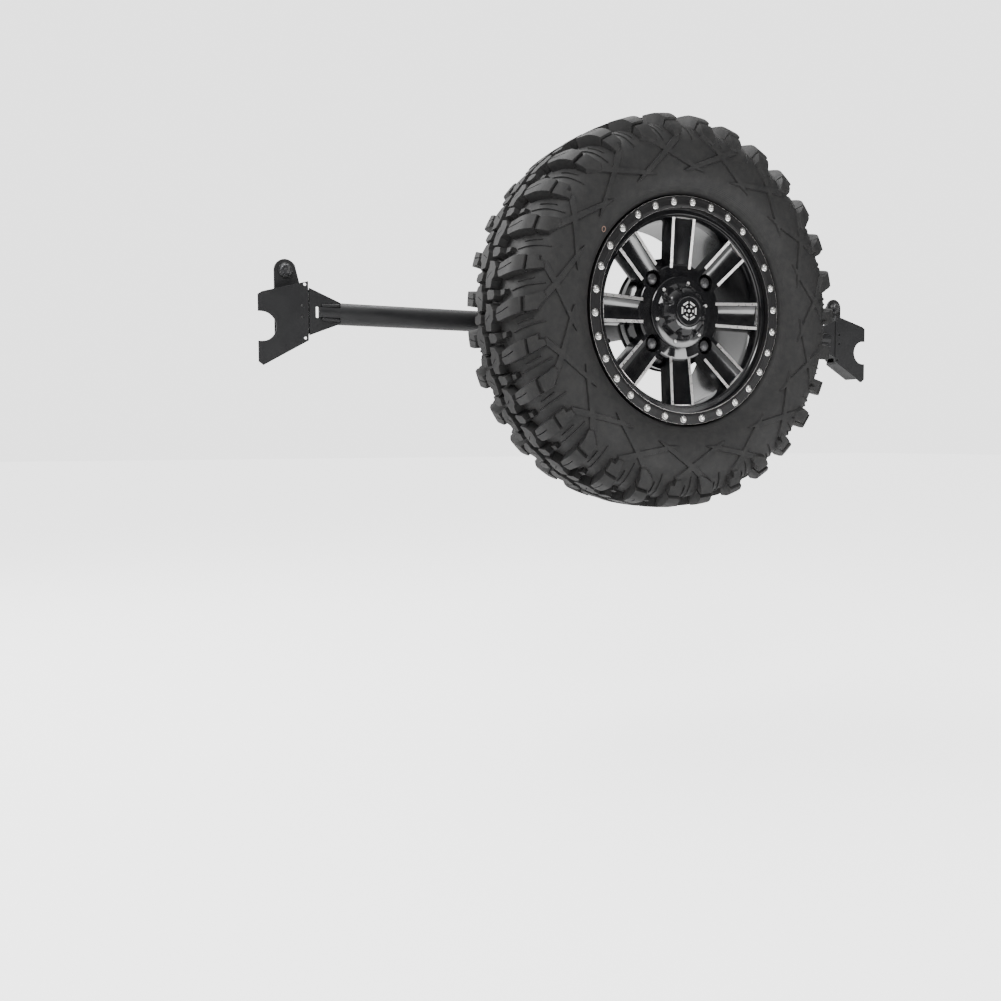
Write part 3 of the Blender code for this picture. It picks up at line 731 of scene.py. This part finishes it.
def spun(point, degrees):
    """A point drawn on the upright spoke, turned to its own angle."""
    angle = math.radians(degrees)
    x, y, z = point
    return (x * math.cos(angle) + z * math.sin(angle), y, z * math.cos(angle) - x * math.sin(angle))


def spoke_section(out):
    """Across a spoke: side walls with draft, a flat land at each edge and a dished band between."""
    half, front, back = spoke_half_width(out), spoke_front(out), spoke_back(out)
    land = half - LAND_WIDTH
    side = [(-half - 0.0022, back), (-half - 0.0004, front + 0.0012), (-half + 0.0004, front), (-land, front)]
    side += [(-land + 0.0007, front + 0.0016), (-0.62 * land, front + 0.0036), (-0.3 * land, front + 0.0046)]
    section = side + [(0.0, front + 0.0049)] + [(-x, y) for x, y in side[::-1]]
    return [(x, y, out) for x, y in section]


def make_wheel_disc():
    """Hub, spokes and lug pockets in one casting."""
    profile = [(0.045, DISC_HIGH.y), (0.098, DISC_HIGH.y)]
    profile += in_mm([(98.5, 231.0), (92.0, 238.5), (86.5, 242.0), (85.0, 256.0), (84.2, 258.8),
                      (82.2, 260.6), (80.0, 261.2), (45.0, 261.6)])
    disc = turned_piece("wheel_face", profile, 96, "gloss_black", "wheel", ["wheel_disc"])
    spokes = bmesh.new()
    for number in range(SPOKES):
        reach = np.linspace(SPOKE_ROOT, SPOKE_TIP, 9)
        loft(spokes, [[spun(point, number * 45) for point in spoke_section(out)] for out in reach])
    subtract(disc, spokes, "UNION")
    collar = bmesh.new()
    band = in_mm([(160.0, 247.0), (165.2, 244.0), (165.2, 273.5), (163.6, 273.5), (161.0, 270.0)])
    turn(collar, band, (0, 0, 0), FORWARD, FINE_STEPS)
    subtract(disc, collar, "UNION")
    pockets = bmesh.new()
    pocket = in_mm([(0, 300), (19.0, 300), (19.0, 265.5), (16.0, 262.0), (15.0, 259.0), (14.5, 257.0)])
    pocket += [(0.0145, LUG_SEAT + 0.0003), (0.0070, LUG_SEAT + 0.0003), (0.0070, -0.200), (0.0, -0.200)]
    for angle in LUG_ANGLES:
        x, z = polar(LUG_RADIUS, angle)
        turn(pockets, pocket, (x, 0, z), FORWARD, 40)
    screw_hole = in_mm([(0, 300), (2.2, 300), (2.2, 250), (0, 250)])
    for number in range(6):
        place = centre(f"cap_screw_{number + 1}")
        turn(pockets, screw_hole, (place.x, 0, place.z), FORWARD, 16)
    subtract(disc, pockets)
    clean_up(disc)


def make_machined_lines_and_painted_highlights():
    """Bright turned lines along each edge of every spoke, and across its outer end a thin bright strip that is
    a painted highlight on the spoke's end edge.
    """
    proud, buried = 0.00016, 0.0008
    bm = bmesh.new()
    for number in range(SPOKES):
        start = 0.0925 if number % 2 else 0.0760
        for side in (-1, 1):
            sections = []
            for out in np.linspace(start, 0.1618, 8):
                half, front = spoke_half_width(out), spoke_front(out)
                outer, inner = half - 0.0001, half - LAND_WIDTH + 0.0002
                corners = [(outer, front + buried), (outer, front - proud), (inner, front - proud)]
                corners += [(inner, front + buried)]
                sections.append([spun((side * x, y, out), number * 45) for x, y in corners])
            loft(bm, sections)
        # Across the outer end: a bright strip that is a painted highlight, standing in for the light caught on
        # the spoke's end edge.
        sections = []
        half = spoke_half_width(0.162)
        for x in np.linspace(-half + LAND_WIDTH, half - LAND_WIDTH, 7):
            near, far = 0.1604, 0.1622
            front = spoke_front(0.1600) + 0.0004
            top, root = front - proud, front + 0.004
            corners = [(near, root), (near, top), (far, top), (far, root)]
            sections.append([spun((x, y, out), number * 45) for out, y in corners])
        loft(bm, sections)
    finish_piece("spoke_machined_lines_and_painted_end_highlights", bm, "machined_aluminium", "wheel", bevel=0.0001)


def make_sidewall_mark():
    """The small painted ring on the sidewall, high on the left of the wheel."""
    x, z = polar(1.0, -55.0)
    outward, forward = Vector((x, 0, z)), Vector(FORWARD)
    normal = (-outward * 0.385 - forward * 0.923).normalized()
    middle = outward * 0.2140 + forward * (WHEEL_MIDDLE - 0.1072)
    section = [(0.0046, -0.0004), (0.0046, 0.0005), (0.0036, 0.0005), (0.0036, -0.0004)]
    turned_piece("sidewall_paint_ring", section, 40, "tyre_rubber", "wheel", origin=middle, axis=normal,
                 material=DOT_PAINT)


def make_clamp_ring():
    """The flat ring that clamps the bead, and a thin bright strip along each of its edges: a painted highlight
    standing in for the light caught on those edges.
    """
    back, face = RING_HIGH.y, RING_FACE
    inner, outer = 0.1745, RING_HIGH.x
    profile = [(inner, back), (inner, face + 0.0016), (inner + 0.0005, face + 0.0007)]
    profile += [(inner + 0.0017, face), (0.1822, face), (0.1826, face + 0.0003), (0.1894, face + 0.0003)]
    profile += [(0.1898, face), (outer - 0.0014, face), (outer - 0.0003, face + 0.0008)]
    profile += [(outer, face + 0.0018), (outer, back)]
    turned_piece("bead_clamp_ring", profile, 180, "satin_black", "wheel", ["beadlock_ring"])
    # Painted highlights: thin bright strips laid on the ring's inner and outer edges, where light catches
    # them.
    lines = bmesh.new()
    half, thickness = 0.0002, 0.0006
    for radius, height in ((inner + 0.0011, face + 0.0003), (outer - 0.0008, face + 0.0004)):
        low, high = radius - half, radius + half
        section = [(low, height + thickness), (low, height), (high, height), (high, height + thickness)]
        turn(lines, section, (0, 0, 0), FORWARD, 180)
    finish_piece("clamp_ring_painted_highlights", lines, "machined_aluminium", "wheel")


def button_head(bm, place, radius, height, axis, socket, first=0.0):
    """Domed head with a hexagon socket, resting on its place."""
    depth = 0.55 * height
    profile = [(0.0, -height + depth), (socket * 0.98, -height + depth), (socket, -height + 0.0001)]
    profile += [(socket * 1.12, -height), (0.62 * radius, -0.97 * height), (0.84 * radius, -0.72 * height)]
    profile += [(0.97 * radius, -0.38 * height), (radius, -0.12 * height), (radius, 0.0005), (0.0, 0.0005)]

    def rule(r, h, angle):
        if 0 < r <= socket * 1.13 and h < -0.1 * height:
            return r / 1.12 / flat_cosine(angle), h
        return r, h
    turn(bm, profile, place, axis, 24, rule, first)


def make_ring_bolts():
    """The clamp ring's button heads, each on a thin washer."""
    washer = [(0.0052, 0.0004), (0.0064, 0.0004), (0.0064, -0.0002), (0.0052, -0.0005)]
    bm = bmesh.new()
    for number in range(RING_BOLTS):
        x, z = polar(RING_BOLT_RADIUS, RING_FIRST_ANGLE + number * 360 / RING_BOLTS)
        turn(bm, washer, (x, RING_FACE, z), FORWARD, 24)
        button_head(bm, (x, RING_FACE - 0.0002, z), 0.0053, 0.0031, FORWARD, 0.0018, number * 0.7)
    finish_piece("ring_bolts", bm, "zinc_bolt", "wheel", ["beadlock_ring"], sharp=30)


def make_centre_cap():
    """Flange, dome with eight scallops, and a recessed face for the badge."""
    flange = [(0, 20.0), (30.0, 19.0), (39.0, 1.0), (39.5, 0), (61.0, 0), (62.0, 0.8), (61.9, 2.6)]
    foot = [(61.0, 3.3), (50.5, 4.0), (49.2, 4.6), (48.2, 7.0)]
    wall = [(47.0 - 1.3 * k, 9.2 + 2.2 * k) for k in range(4)]
    crown = [(41.6, 17.8), (39.2, 20.0), (36.0, 22.0), (32.5, 23.5), (28.5, 24.3), (27.0, 24.4)]
    recess = [(26.4, 24.0), (26.2, 22.5), (0, 22.5)]

    def scallop(radius, height, angle):
        depth = CAP_HIGH.y - height
        if not 0.0060 < depth < 0.0236 or radius < 0.0322:
            return radius, height
        turned = abs((math.degrees(angle) + 45) % 45 - 22.5)
        inward = max(0.0, 1 - (turned / 8.0) ** 2) ** 0.5
        start = min(1.0, (depth - 0.0060) / 0.003)
        return radius - 0.0056 * inward * start * min(1.0, (radius - 0.0322) / 0.008), height
    profile = in_mm(flange + foot + wall + crown + recess, CAP_HIGH.y)
    turned_piece("dome_cap", profile, 192, "cap_plastic", "wheel", ["centre_cap"], shape=scallop, sharp=32)


def make_cap_fittings():
    """Badge with a plain geometric mark, and the six little screws of the flange."""
    back, face = BADGE_HIGH.y, BADGE_LOW.y
    profile = [(0.0, back), (0.0256, back), (0.0258, back - 0.0004), (0.0258, face + 0.0010)]
    profile += [(0.0252, face + 0.0003), (0.0242, face), (0.0236, face + 0.0002), (0.0232, face + 0.0007)]
    profile += [(0.0, face + 0.0007)]
    turned_piece("badge_disc", profile, 96, "cap_plastic", "wheel", ["cap_badge"], sharp=30)
    mark = bmesh.new()
    top, root = face + 0.0004, face + 0.0012
    for outer, inner, gap in ((0.0165, 0.0132, 8.0), (0.0098, 0.0070, 16.0)):
        for side in range(6):
            start, end = side * 60 + gap, side * 60 + 60 - gap
            corners = [polar(outer, start), polar(outer, end), polar(inner, end), polar(inner, start)]
            prism(mark, corners, lambda point, depth: (point[0], depth, point[1]), top, root)
    rod = [(0.0, top), (0.0026, top), (0.0030, top + 0.0003), (0.0030, root), (0.0, root)]
    turn(mark, rod, (0, 0, 0), FORWARD, 6)
    finish_piece("badge_mark", mark, "cap_plastic", "wheel", bevel=0.00015, material=WHITE_PAINT)
    for number in range(1, 7):
        node = f"cap_screw_{number}"
        low, high, middle = placed(node)
        screw = bmesh.new()
        button_head(screw, (middle.x, low.y + 0.0022, middle.z), 0.0034, 0.0022, FORWARD, 0.0012, number * 0.5)
        shank = [(0.0, low.y + 0.002), (0.0018, low.y + 0.002), (0.0018, high.y), (0.0, high.y)]
        turn(screw, shank, (middle.x, 0, middle.z), FORWARD, 16)
        finish_piece(f"flange_screw_{number}", screw, "zinc_bolt", "wheel", [node], sharp=30)


def make_lug_nut(number):
    """Closed hexagon nut with a domed end and a round seat."""
    node = f"lug_nut_{number}"
    low, high, middle = placed(node)
    end = low.y - high.y
    bore = in_mm([(0, -5.8), (5.6, -6.2)], end) + [(0.0058, -0.0010)]
    foot = in_mm([(6.6, 0), (12.1, 0), (12.5, 0.5), (12.5, 2.2), (12.0, 3.0), (11.1, 4.2)])
    dome = in_mm([(11.1, -6.2), (10.4, -4.5), (9.0, -2.0), (6.8, -0.7), (4.0, -0.1), (0, 0)], end)
    turned_piece(f"capped_{node}", bore + foot + dome, 72, "black_bolt", node, [node],
                 origin=(middle.x, high.y, middle.z), shape=hex_rule(0.0095, end + 0.0015, -0.0035), sharp=24)


def thread(bm, place, radius, start, end, pitch, tail):
    """A threaded rod as stacked V grooves between two heights, and the tail's profile after it."""
    profile = [(0.0, start), (radius - 0.0009, start)]
    for number in range(int((end - start) / pitch)):
        base = start + number * pitch
        profile += [(radius, base + 0.35 * pitch), (radius, base + 0.55 * pitch)]
        profile.append((radius - 0.0008, base + 0.95 * pitch))
    profile += [(radius, end), *tail, (0.0, tail[-1][1])]
    turn(bm, profile, place, FORWARD, 32)


def make_studs():
    """The four pressed-in wheel studs, threaded from their tip to near the head."""
    for number in range(1, 5):
        node = f"wheel_stud_{number}"
        low, high, middle = placed(node)
        head = high.y - 0.004
        tail = [(0.0060, head - 0.0002), (0.0095, head), (0.0095, high.y - 0.0010), (0.0087, high.y)]
        bm = bmesh.new()
        thread(bm, (middle.x, 0, middle.z), 0.006, low.y, head - 0.008, 0.0015, tail)
        finish_piece(f"threaded_stud_{number}", bm, "zinc_bolt", "carrier", [node], sharp=30)


def make_valve():
    """Rubber snap-in stem, narrowed to a plain neck under a ribbed cap."""
    x, z = polar(1.0, VALVE_ANGLE)
    place = {"origin": (0, centre("valve_stem").y, 0), "axis": (-x, 0.0, -z)}
    stem = in_mm([(0, 178.0), (7.2, 178.0), (8.0, 177.2), (8.5, 175.2), (8.2, 174.2), (5.2, 172.6),
                  (5.0, 171.6), (5.0, 164.8), (6.2, 164.2), (7.5, 163.2), (7.6, 162.0), (7.0, 160.8),
                  (6.0, 154.0), (5.4, 147.8), (5.0, 146.8), (3.0, 146.2), (2.6, 145.5), (2.6, 133.5),
                  (0, 133.3)])
    turned_piece("snap_in_stem", stem, 32, "valve_rubber", "wheel", ["valve_stem"], sharp=32, **place)
    cap = in_mm([(0, 130.0), (3.0, 130.0), (3.6, 130.3), (4.0, 131.2), (4.3, 131.8), (4.3, 142.5),
                 (4.1, 143.2), (3.7, 143.5), (3.1, 143.5), (3.0, 132.5), (0, 132.5)])

    def ribs(radius, height, angle):
        in_groove = radius > 0.00425 and math.cos(12 * angle) > 0
        return (radius - 0.0004 if in_groove else radius), height
    turned_piece("ribbed_valve_cap", cap, 48, "cap_plastic", "valve_cap", ["valve_cap"], shape=ribs, sharp=30,
                 **place)


make_rim()
make_wheel_disc()
make_machined_lines_and_painted_highlights()
make_sidewall_mark()
make_clamp_ring()
make_ring_bolts()
make_centre_cap()
make_cap_fittings()
for nut_number in range(1, 5):
    make_lug_nut(nut_number)
make_studs()
make_valve()


# --- Carrier ------------------------------------------------------------------------
TUBE_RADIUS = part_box("crossbar")[1].z
PLATE_LOW, PLATE_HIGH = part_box("left_gusset")
HUB_LOW, HUB_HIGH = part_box("hub_plate")
STANDOFF_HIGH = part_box("standoff_tube")[1]
SEAM_WIDTH = 0.0014             # open joint between each gusset and its bracket
HEX_HALF = 0.0085               # half of an M10 hexagon's width across flats


def refined(node, name, slot, body, bevel, angle=30, seam=None):
    """A copy of a CAD solid with flat faces joined and its edges rounded."""
    bm = bmesh.new()
    bm.from_mesh(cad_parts[node].data)
    if seam is not None:
        for vert in bm.verts:
            if abs(abs(vert.co.x) - seam) < 0.0002:
                vert.co.x -= math.copysign(SEAM_WIDTH, vert.co.x)
    bmesh.ops.remove_doubles(bm, verts=bm.verts, dist=1e-5)
    bmesh.ops.dissolve_limit(bm, angle_limit=math.radians(0.4), verts=bm.verts, edges=bm.edges)
    return finish_piece(name, bm, slot, body, [node], bevel=bevel, sharp=angle)


def weld_bead(bm, points, radius, pitch=0.0026, around=8):
    """A rippled bead of weld along a path, rounded off at both ends."""
    points = [Vector(point) for point in points]
    lengths = [0.0]
    for before, after in zip(points, points[1:]):
        lengths.append(lengths[-1] + (after - before).length)
    total = lengths[-1]
    count = max(6, round(total / pitch * 4))
    rows = []
    for step in range(count + 1):
        reach = total * step / count
        index = max(0, min(len(points) - 2, int(np.searchsorted(lengths, reach)) - 1))
        share = (reach - lengths[index]) / max(1e-9, lengths[index + 1] - lengths[index])
        place = points[index].lerp(points[index + 1], share)
        along = (points[index + 1] - points[index]).normalized()
        side = along.orthogonal() if abs(along.y) > 0.9 else along.cross(Vector(FORWARD))
        side.normalize()
        other = along.cross(side)
        ripple = 0.90 + 0.14 * abs(math.sin(math.pi * reach / pitch))
        end = math.sqrt(max(0.02, 1 - max(0.0, 1 - min(reach, total - reach) / radius) ** 2))
        angles = [2 * math.pi * corner / around for corner in range(around)]
        size = radius * ripple * end
        rows.append([place + size * (math.cos(angle) * side + math.sin(angle) * other) for angle in angles])
    loft(bm, rows)


def make_crossbar():
    """Smooth round bar with its flattened tongues, as one surface."""
    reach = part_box("crossbar")[1].x
    round_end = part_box("right_gusset")[0].x - 0.0003
    inner, edge = TUBE_RADIUS - 0.003, 0.0006
    profile = [(inner, -round_end), (TUBE_RADIUS - edge, -round_end), (TUBE_RADIUS, -round_end + edge)]
    profile += [(TUBE_RADIUS, round_end - edge), (TUBE_RADIUS - edge, round_end), (inner, round_end)]
    bar = turned_piece("main_crossbar", profile, 96, "powder_coat", "carrier", ["crossbar"], axis=(1, 0, 0))
    half = 0.0085
    rear = PLATE_LOW.y - 0.0003
    spread = math.asin(half / TUBE_RADIUS)
    angles = [spread * k / 4 for k in range(-4, 5)]
    section = [(-TUBE_RADIUS * math.cos(angle) + 0.0002, TUBE_RADIUS * math.sin(angle)) for angle in angles]
    section += [(rear, half), (rear, -half)]
    tongues = bmesh.new()
    for side in (-1, 1):
        start, end = side * (round_end - 0.006), side * reach
        prism(tongues, section, lambda point, depth: (depth, *point), start, end)
    subtract(bar, tongues, "UNION")
    clean_up(bar)
    round_edges(bar, edge, 40, harden=False)


def make_plates():
    """Brackets, gussets, tabs and ribs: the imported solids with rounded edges."""
    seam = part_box("right_gusset")[1].x
    for word in SIDES:
        refined(f"{word}_gusset", f"{word}_end_gusset", "powder_coat", "carrier", 0.0005, seam=seam)
        refined(f"{word}_bracket_plate", f"{word}_folded_bracket", "powder_coat", "carrier", 0.0009)
        refined(f"{word}_mount_tab", f"{word}_arched_tab", "powder_coat", "carrier", 0.0006)
    for word in ("left", "right", "upper", "lower"):
        refined(f"{word}_standoff_rib", f"{word}_brace", "powder_coat", "carrier", 0.0005)


def make_standoff():
    """Coped tube and the round plate that the wheel bolts to."""
    low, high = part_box("standoff_tube")
    outer, inner = high.x, high.x - 0.0032
    profile = [(inner, low.y), (outer - 0.0005, low.y), (outer, low.y + 0.0005)]
    profile += [(outer, high.y), (inner, high.y)]
    tube = turned_piece("coped_standoff", profile, 96, "powder_coat", "carrier", ["standoff_tube"])
    cope = bmesh.new()
    radius, length = TUBE_RADIUS + 0.0003, 0.060
    turn(cope, [(0.0, -length), (radius, -length), (radius, length), (0.0, length)], (0, 0, 0), (1, 0, 0), 96)
    subtract(tube, cope)
    clean_up(tube)

    rear, front, radius = HUB_LOW.y, HUB_HIGH.y, HUB_HIGH.x
    profile = [(0.018, rear + 0.0005), (0.0185, rear), (radius - 0.0008, rear), (radius, rear + 0.0008)]
    profile += [(radius, front - 0.0008), (radius - 0.0008, front), (0.0185, front), (0.018, front - 0.0005)]
    hub = turned_piece("wheel_hub_plate", profile, 144, "powder_coat", "carrier", ["hub_plate"])
    holes = bmesh.new()
    hole = [(0.0, rear - 0.01), (0.0063, rear - 0.01), (0.0063, front + 0.01), (0.0, front + 0.01)]
    for angle in LUG_ANGLES:
        x, z = polar(LUG_RADIUS, angle)
        turn(holes, hole, (x, 0, z), FORWARD, 32)
    subtract(hub, holes)
    clean_up(hub)


def make_welds():
    """Beads wherever one steel part of the carrier is joined to the next."""
    rear, front = PLATE_LOW.y - 0.0004, PLATE_HIGH.y + 0.0004
    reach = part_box("crossbar")[1].x
    near, far = (corner.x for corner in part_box("right_gusset"))
    bar, tube = TUBE_RADIUS, STANDOFF_HIGH.x
    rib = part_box("right_standoff_rib")[1].x
    plate, beside = HUB_HIGH.y + 0.0010, 0.0032
    mirrored = (                # beads that repeat on both sides, above and below
        ([(near - 0.001, rear - 0.0008, 0.0126), (reach - 0.004, rear - 0.0002, 0.0112)], 0.0034),
        ([(near, rear, 0.0130), (near, rear, bar - 0.0005)], 0.0022),
        ([(near + 0.0003, front, 0.001), (near + 0.0003, front, bar - 0.001)], 0.0018),
        ([(tube + 0.004, plate, beside), (rib - 0.036, plate, beside)], 0.0018),
        ([(tube + 0.004, -bar - 0.0002, 0.0034), (rib - 0.003, -bar - 0.0002, 0.0034)], 0.0020),
        ([(beside, plate, tube + 0.004), (beside, plate, 0.080)], 0.0018),
        ([(beside, HUB_HIGH.y + 0.006, tube + 0.0004), (beside, -0.108, tube + 0.0004)], 0.0016),
    )
    cope = []
    for step in range(-20, 21):
        angle = math.radians(step * 4.0)
        z = bar * math.sin(angle)
        cope.append((math.sqrt(tube ** 2 - z ** 2) + 0.0004, -bar * math.cos(angle) - 0.0004, z))
    bm = bmesh.new()
    for side in (-1, 1):
        for path, radius in mirrored:
            weld_bead(bm, [(side * x, y, -z) for x, y, z in path], radius)
            weld_bead(bm, [(side * x, y, z) for x, y, z in path], radius)
        seam = side * (far + 0.0002)
        weld_bead(bm, [(seam, front - 0.0001, -0.038), (seam, front - 0.0001, 0.039)], 0.0018)
        weld_bead(bm, [(side * x, y, z) for x, y, z in cope], 0.0022)
    ring = [polar(tube + 0.0006, 360 * step / 96) for step in range(97)]
    for start in range(2, 96, 24):
        weld_bead(bm, [(x, HUB_HIGH.y + 0.0008, z) for x, z in ring[start:start + 21]], 0.0022)
    finish_piece("weld_beads", bm, "powder_coat", "carrier", sharp=60)


def make_tab_fasteners(prefix):
    """An M10 flange bolt with its washer and nut, through a hole of a mount tab."""
    low, high, middle = placed(f"{prefix}_bolt")
    place = (middle.x, 0, middle.z)
    rear, front = (corner.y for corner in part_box(f"{prefix}_washer"))
    seat = rear - 0.0003
    bolt = bmesh.new()
    head = [(0.0, low.y + 0.0006), (0.0052, low.y + 0.0006), (0.0060, low.y), (0.0078, low.y)]
    head += [(0.0098, low.y + 0.0012), (0.0098, seat - 0.0016), (0.0100, seat - 0.0013)]
    head += [(0.0105, seat - 0.0008), (0.0105, seat - 0.0002), (0.0102, seat), (0.0, seat)]
    turn(bolt, head, place, FORWARD, 72, hex_rule(HEX_HALF, low.y + 0.0004, seat - 0.0014))
    thread(bolt, place, 0.0049, seat - 0.0003, high.y - 0.0008, 0.0015, [(0.0042, high.y)])
    finish_piece(f"{prefix}_flange_bolt", bolt, "black_bolt", "carrier", [f"{prefix}_bolt"], sharp=26)
    washer = [(0.0053, rear), (0.0121, rear), (0.0125, rear + 0.0003), (0.0125, front - 0.0003)]
    washer += [(0.0122, front), (0.0053, front)]
    turned_piece(f"{prefix}_flat_washer", washer, 48, "black_bolt", "carrier", [f"{prefix}_washer"],
                 origin=place, sharp=30)
    rear, front = (corner.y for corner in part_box(f"{prefix}_nut"))
    nut = [(0.0051, rear + 0.0006), (0.0058, rear), (0.0084, rear), (0.0098, rear + 0.0010)]
    nut += [(0.0098, front - 0.0010), (0.0084, front), (0.0058, front), (0.0051, front - 0.0006)]
    turned_piece(f"{prefix}_hex_nut", nut, 72, "black_bolt", "carrier", [f"{prefix}_nut"], origin=place,
                 shape=hex_rule(HEX_HALF, rear + 0.0002, front - 0.0002), sharp=26)


make_crossbar()
make_plates()
make_standoff()
make_welds()
for word in SIDES:
    for level in LEVELS:
        make_tab_fasteners(f"{word}_{level}")


# --- Stage, light and camera --------------------------------------------------------
def add_area(name, location, target, size, power):
    light = bpy.data.lights.new(name, "AREA")
    light.shape = "RECTANGLE"
    light.size, light.size_y = size
    light.energy = power
    lamp = bpy.data.objects.new(name, light)
    lamp.location = location
    lamp.rotation_euler = (Vector(target) - Vector(location)).to_track_quat("-Z", "Y").to_euler()
    bpy.context.scene.collection.objects.link(lamp)


def make_stage():
    """Pale floor, and a soft sky that is brightest above and behind the part."""
    floor_height = -0.75
    bpy.ops.mesh.primitive_plane_add(size=60, location=(0, 0, floor_height))
    floor = bpy.context.object
    floor.name = "studio_floor"
    made = Shader("studio_floor", (0.80, 0.80, 0.80), 0.7)
    made.drive("Base Color", made.mix(made.noise(1.5), (0.80, 0.80, 0.80), (0.84, 0.84, 0.84)))
    made.set("Emission Color", (1.0, 1.0, 1.0, 1.0))
    seen = made.node("ShaderNodeLightPath")
    made.drive("Emission Strength", made.math("MULTIPLY", seen.outputs["Is Camera Ray"], 2.0))
    floor.data.materials.append(made.material)

    world = bpy.data.worlds.new("studio")
    bpy.context.scene.world = world
    world.use_nodes = True
    nodes, links = world.node_tree.nodes, world.node_tree.links
    sky = nodes["Background"]
    place = nodes.new("ShaderNodeTexCoord")
    towards = nodes.new("ShaderNodeVectorMath")
    towards.operation = "DOT_PRODUCT"
    towards.inputs[1].default_value = Vector((-0.35, 0.45, 0.82)).normalized()
    links.new(place.outputs["Generated"], towards.inputs[0])
    strength = nodes.new("ShaderNodeMapRange")
    strength.interpolation_type = "SMOOTHSTEP"
    strength.inputs["From Min"].default_value = -0.2
    strength.inputs["From Max"].default_value = 1.0
    strength.inputs["To Min"].default_value = 0.05
    strength.inputs["To Max"].default_value = 1.5
    links.new(towards.outputs["Value"], strength.inputs["Value"])
    links.new(strength.outputs["Result"], sky.inputs["Strength"])
    sky.inputs["Color"].default_value = (1, 1, 1, 1)
    backdrop = nodes.new("ShaderNodeBackground")
    backdrop.inputs["Strength"].default_value = 3.2
    path = nodes.new("ShaderNodeLightPath")
    mixed = nodes.new("ShaderNodeMixShader")
    links.new(path.outputs["Is Camera Ray"], mixed.inputs[0])
    links.new(sky.outputs[0], mixed.inputs[1])
    links.new(backdrop.outputs[0], mixed.inputs[2])
    links.new(mixed.outputs[0], nodes["World Output"].inputs["Surface"])

    middle = (0.1, -0.15, 0.0)
    add_area("key_light", (-1.6, -2.6, 2.2), middle, (1.2, 1.2), 70)
    add_area("top_light", (-0.4, 0.5, 2.6), middle, (2.4, 1.2), 60)
    add_area("edge_light", (-2.4, 1.4, 1.5), (-0.2, -0.2, 0.1), (1.0, 1.6), 75)
    add_area("low_light", (1.4, -2.6, -0.55), (0.2, -0.2, -0.1), (1.6, 0.8), 34)


def make_camera():
    """Eye level a little below the wheel's middle, from behind and to the left of the vehicle."""
    camera = bpy.data.cameras.new("camera")
    camera.sensor_width = 36.0
    camera.lens = 36.534
    eye = bpy.data.objects.new("camera", camera)
    eye.location = (-1.0518, -1.7406, -0.2230)
    pitch, yaw, roll = 3.3331, 25.4417, 0.2037
    level = Euler((math.radians(90 - pitch), 0, math.radians(-yaw))).to_matrix()
    eye.rotation_euler = (level @ Euler((0, 0, math.radians(-roll))).to_matrix()).to_euler()
    bpy.context.scene.collection.objects.link(eye)
    bpy.context.scene.camera = eye


make_stage()
make_camera()
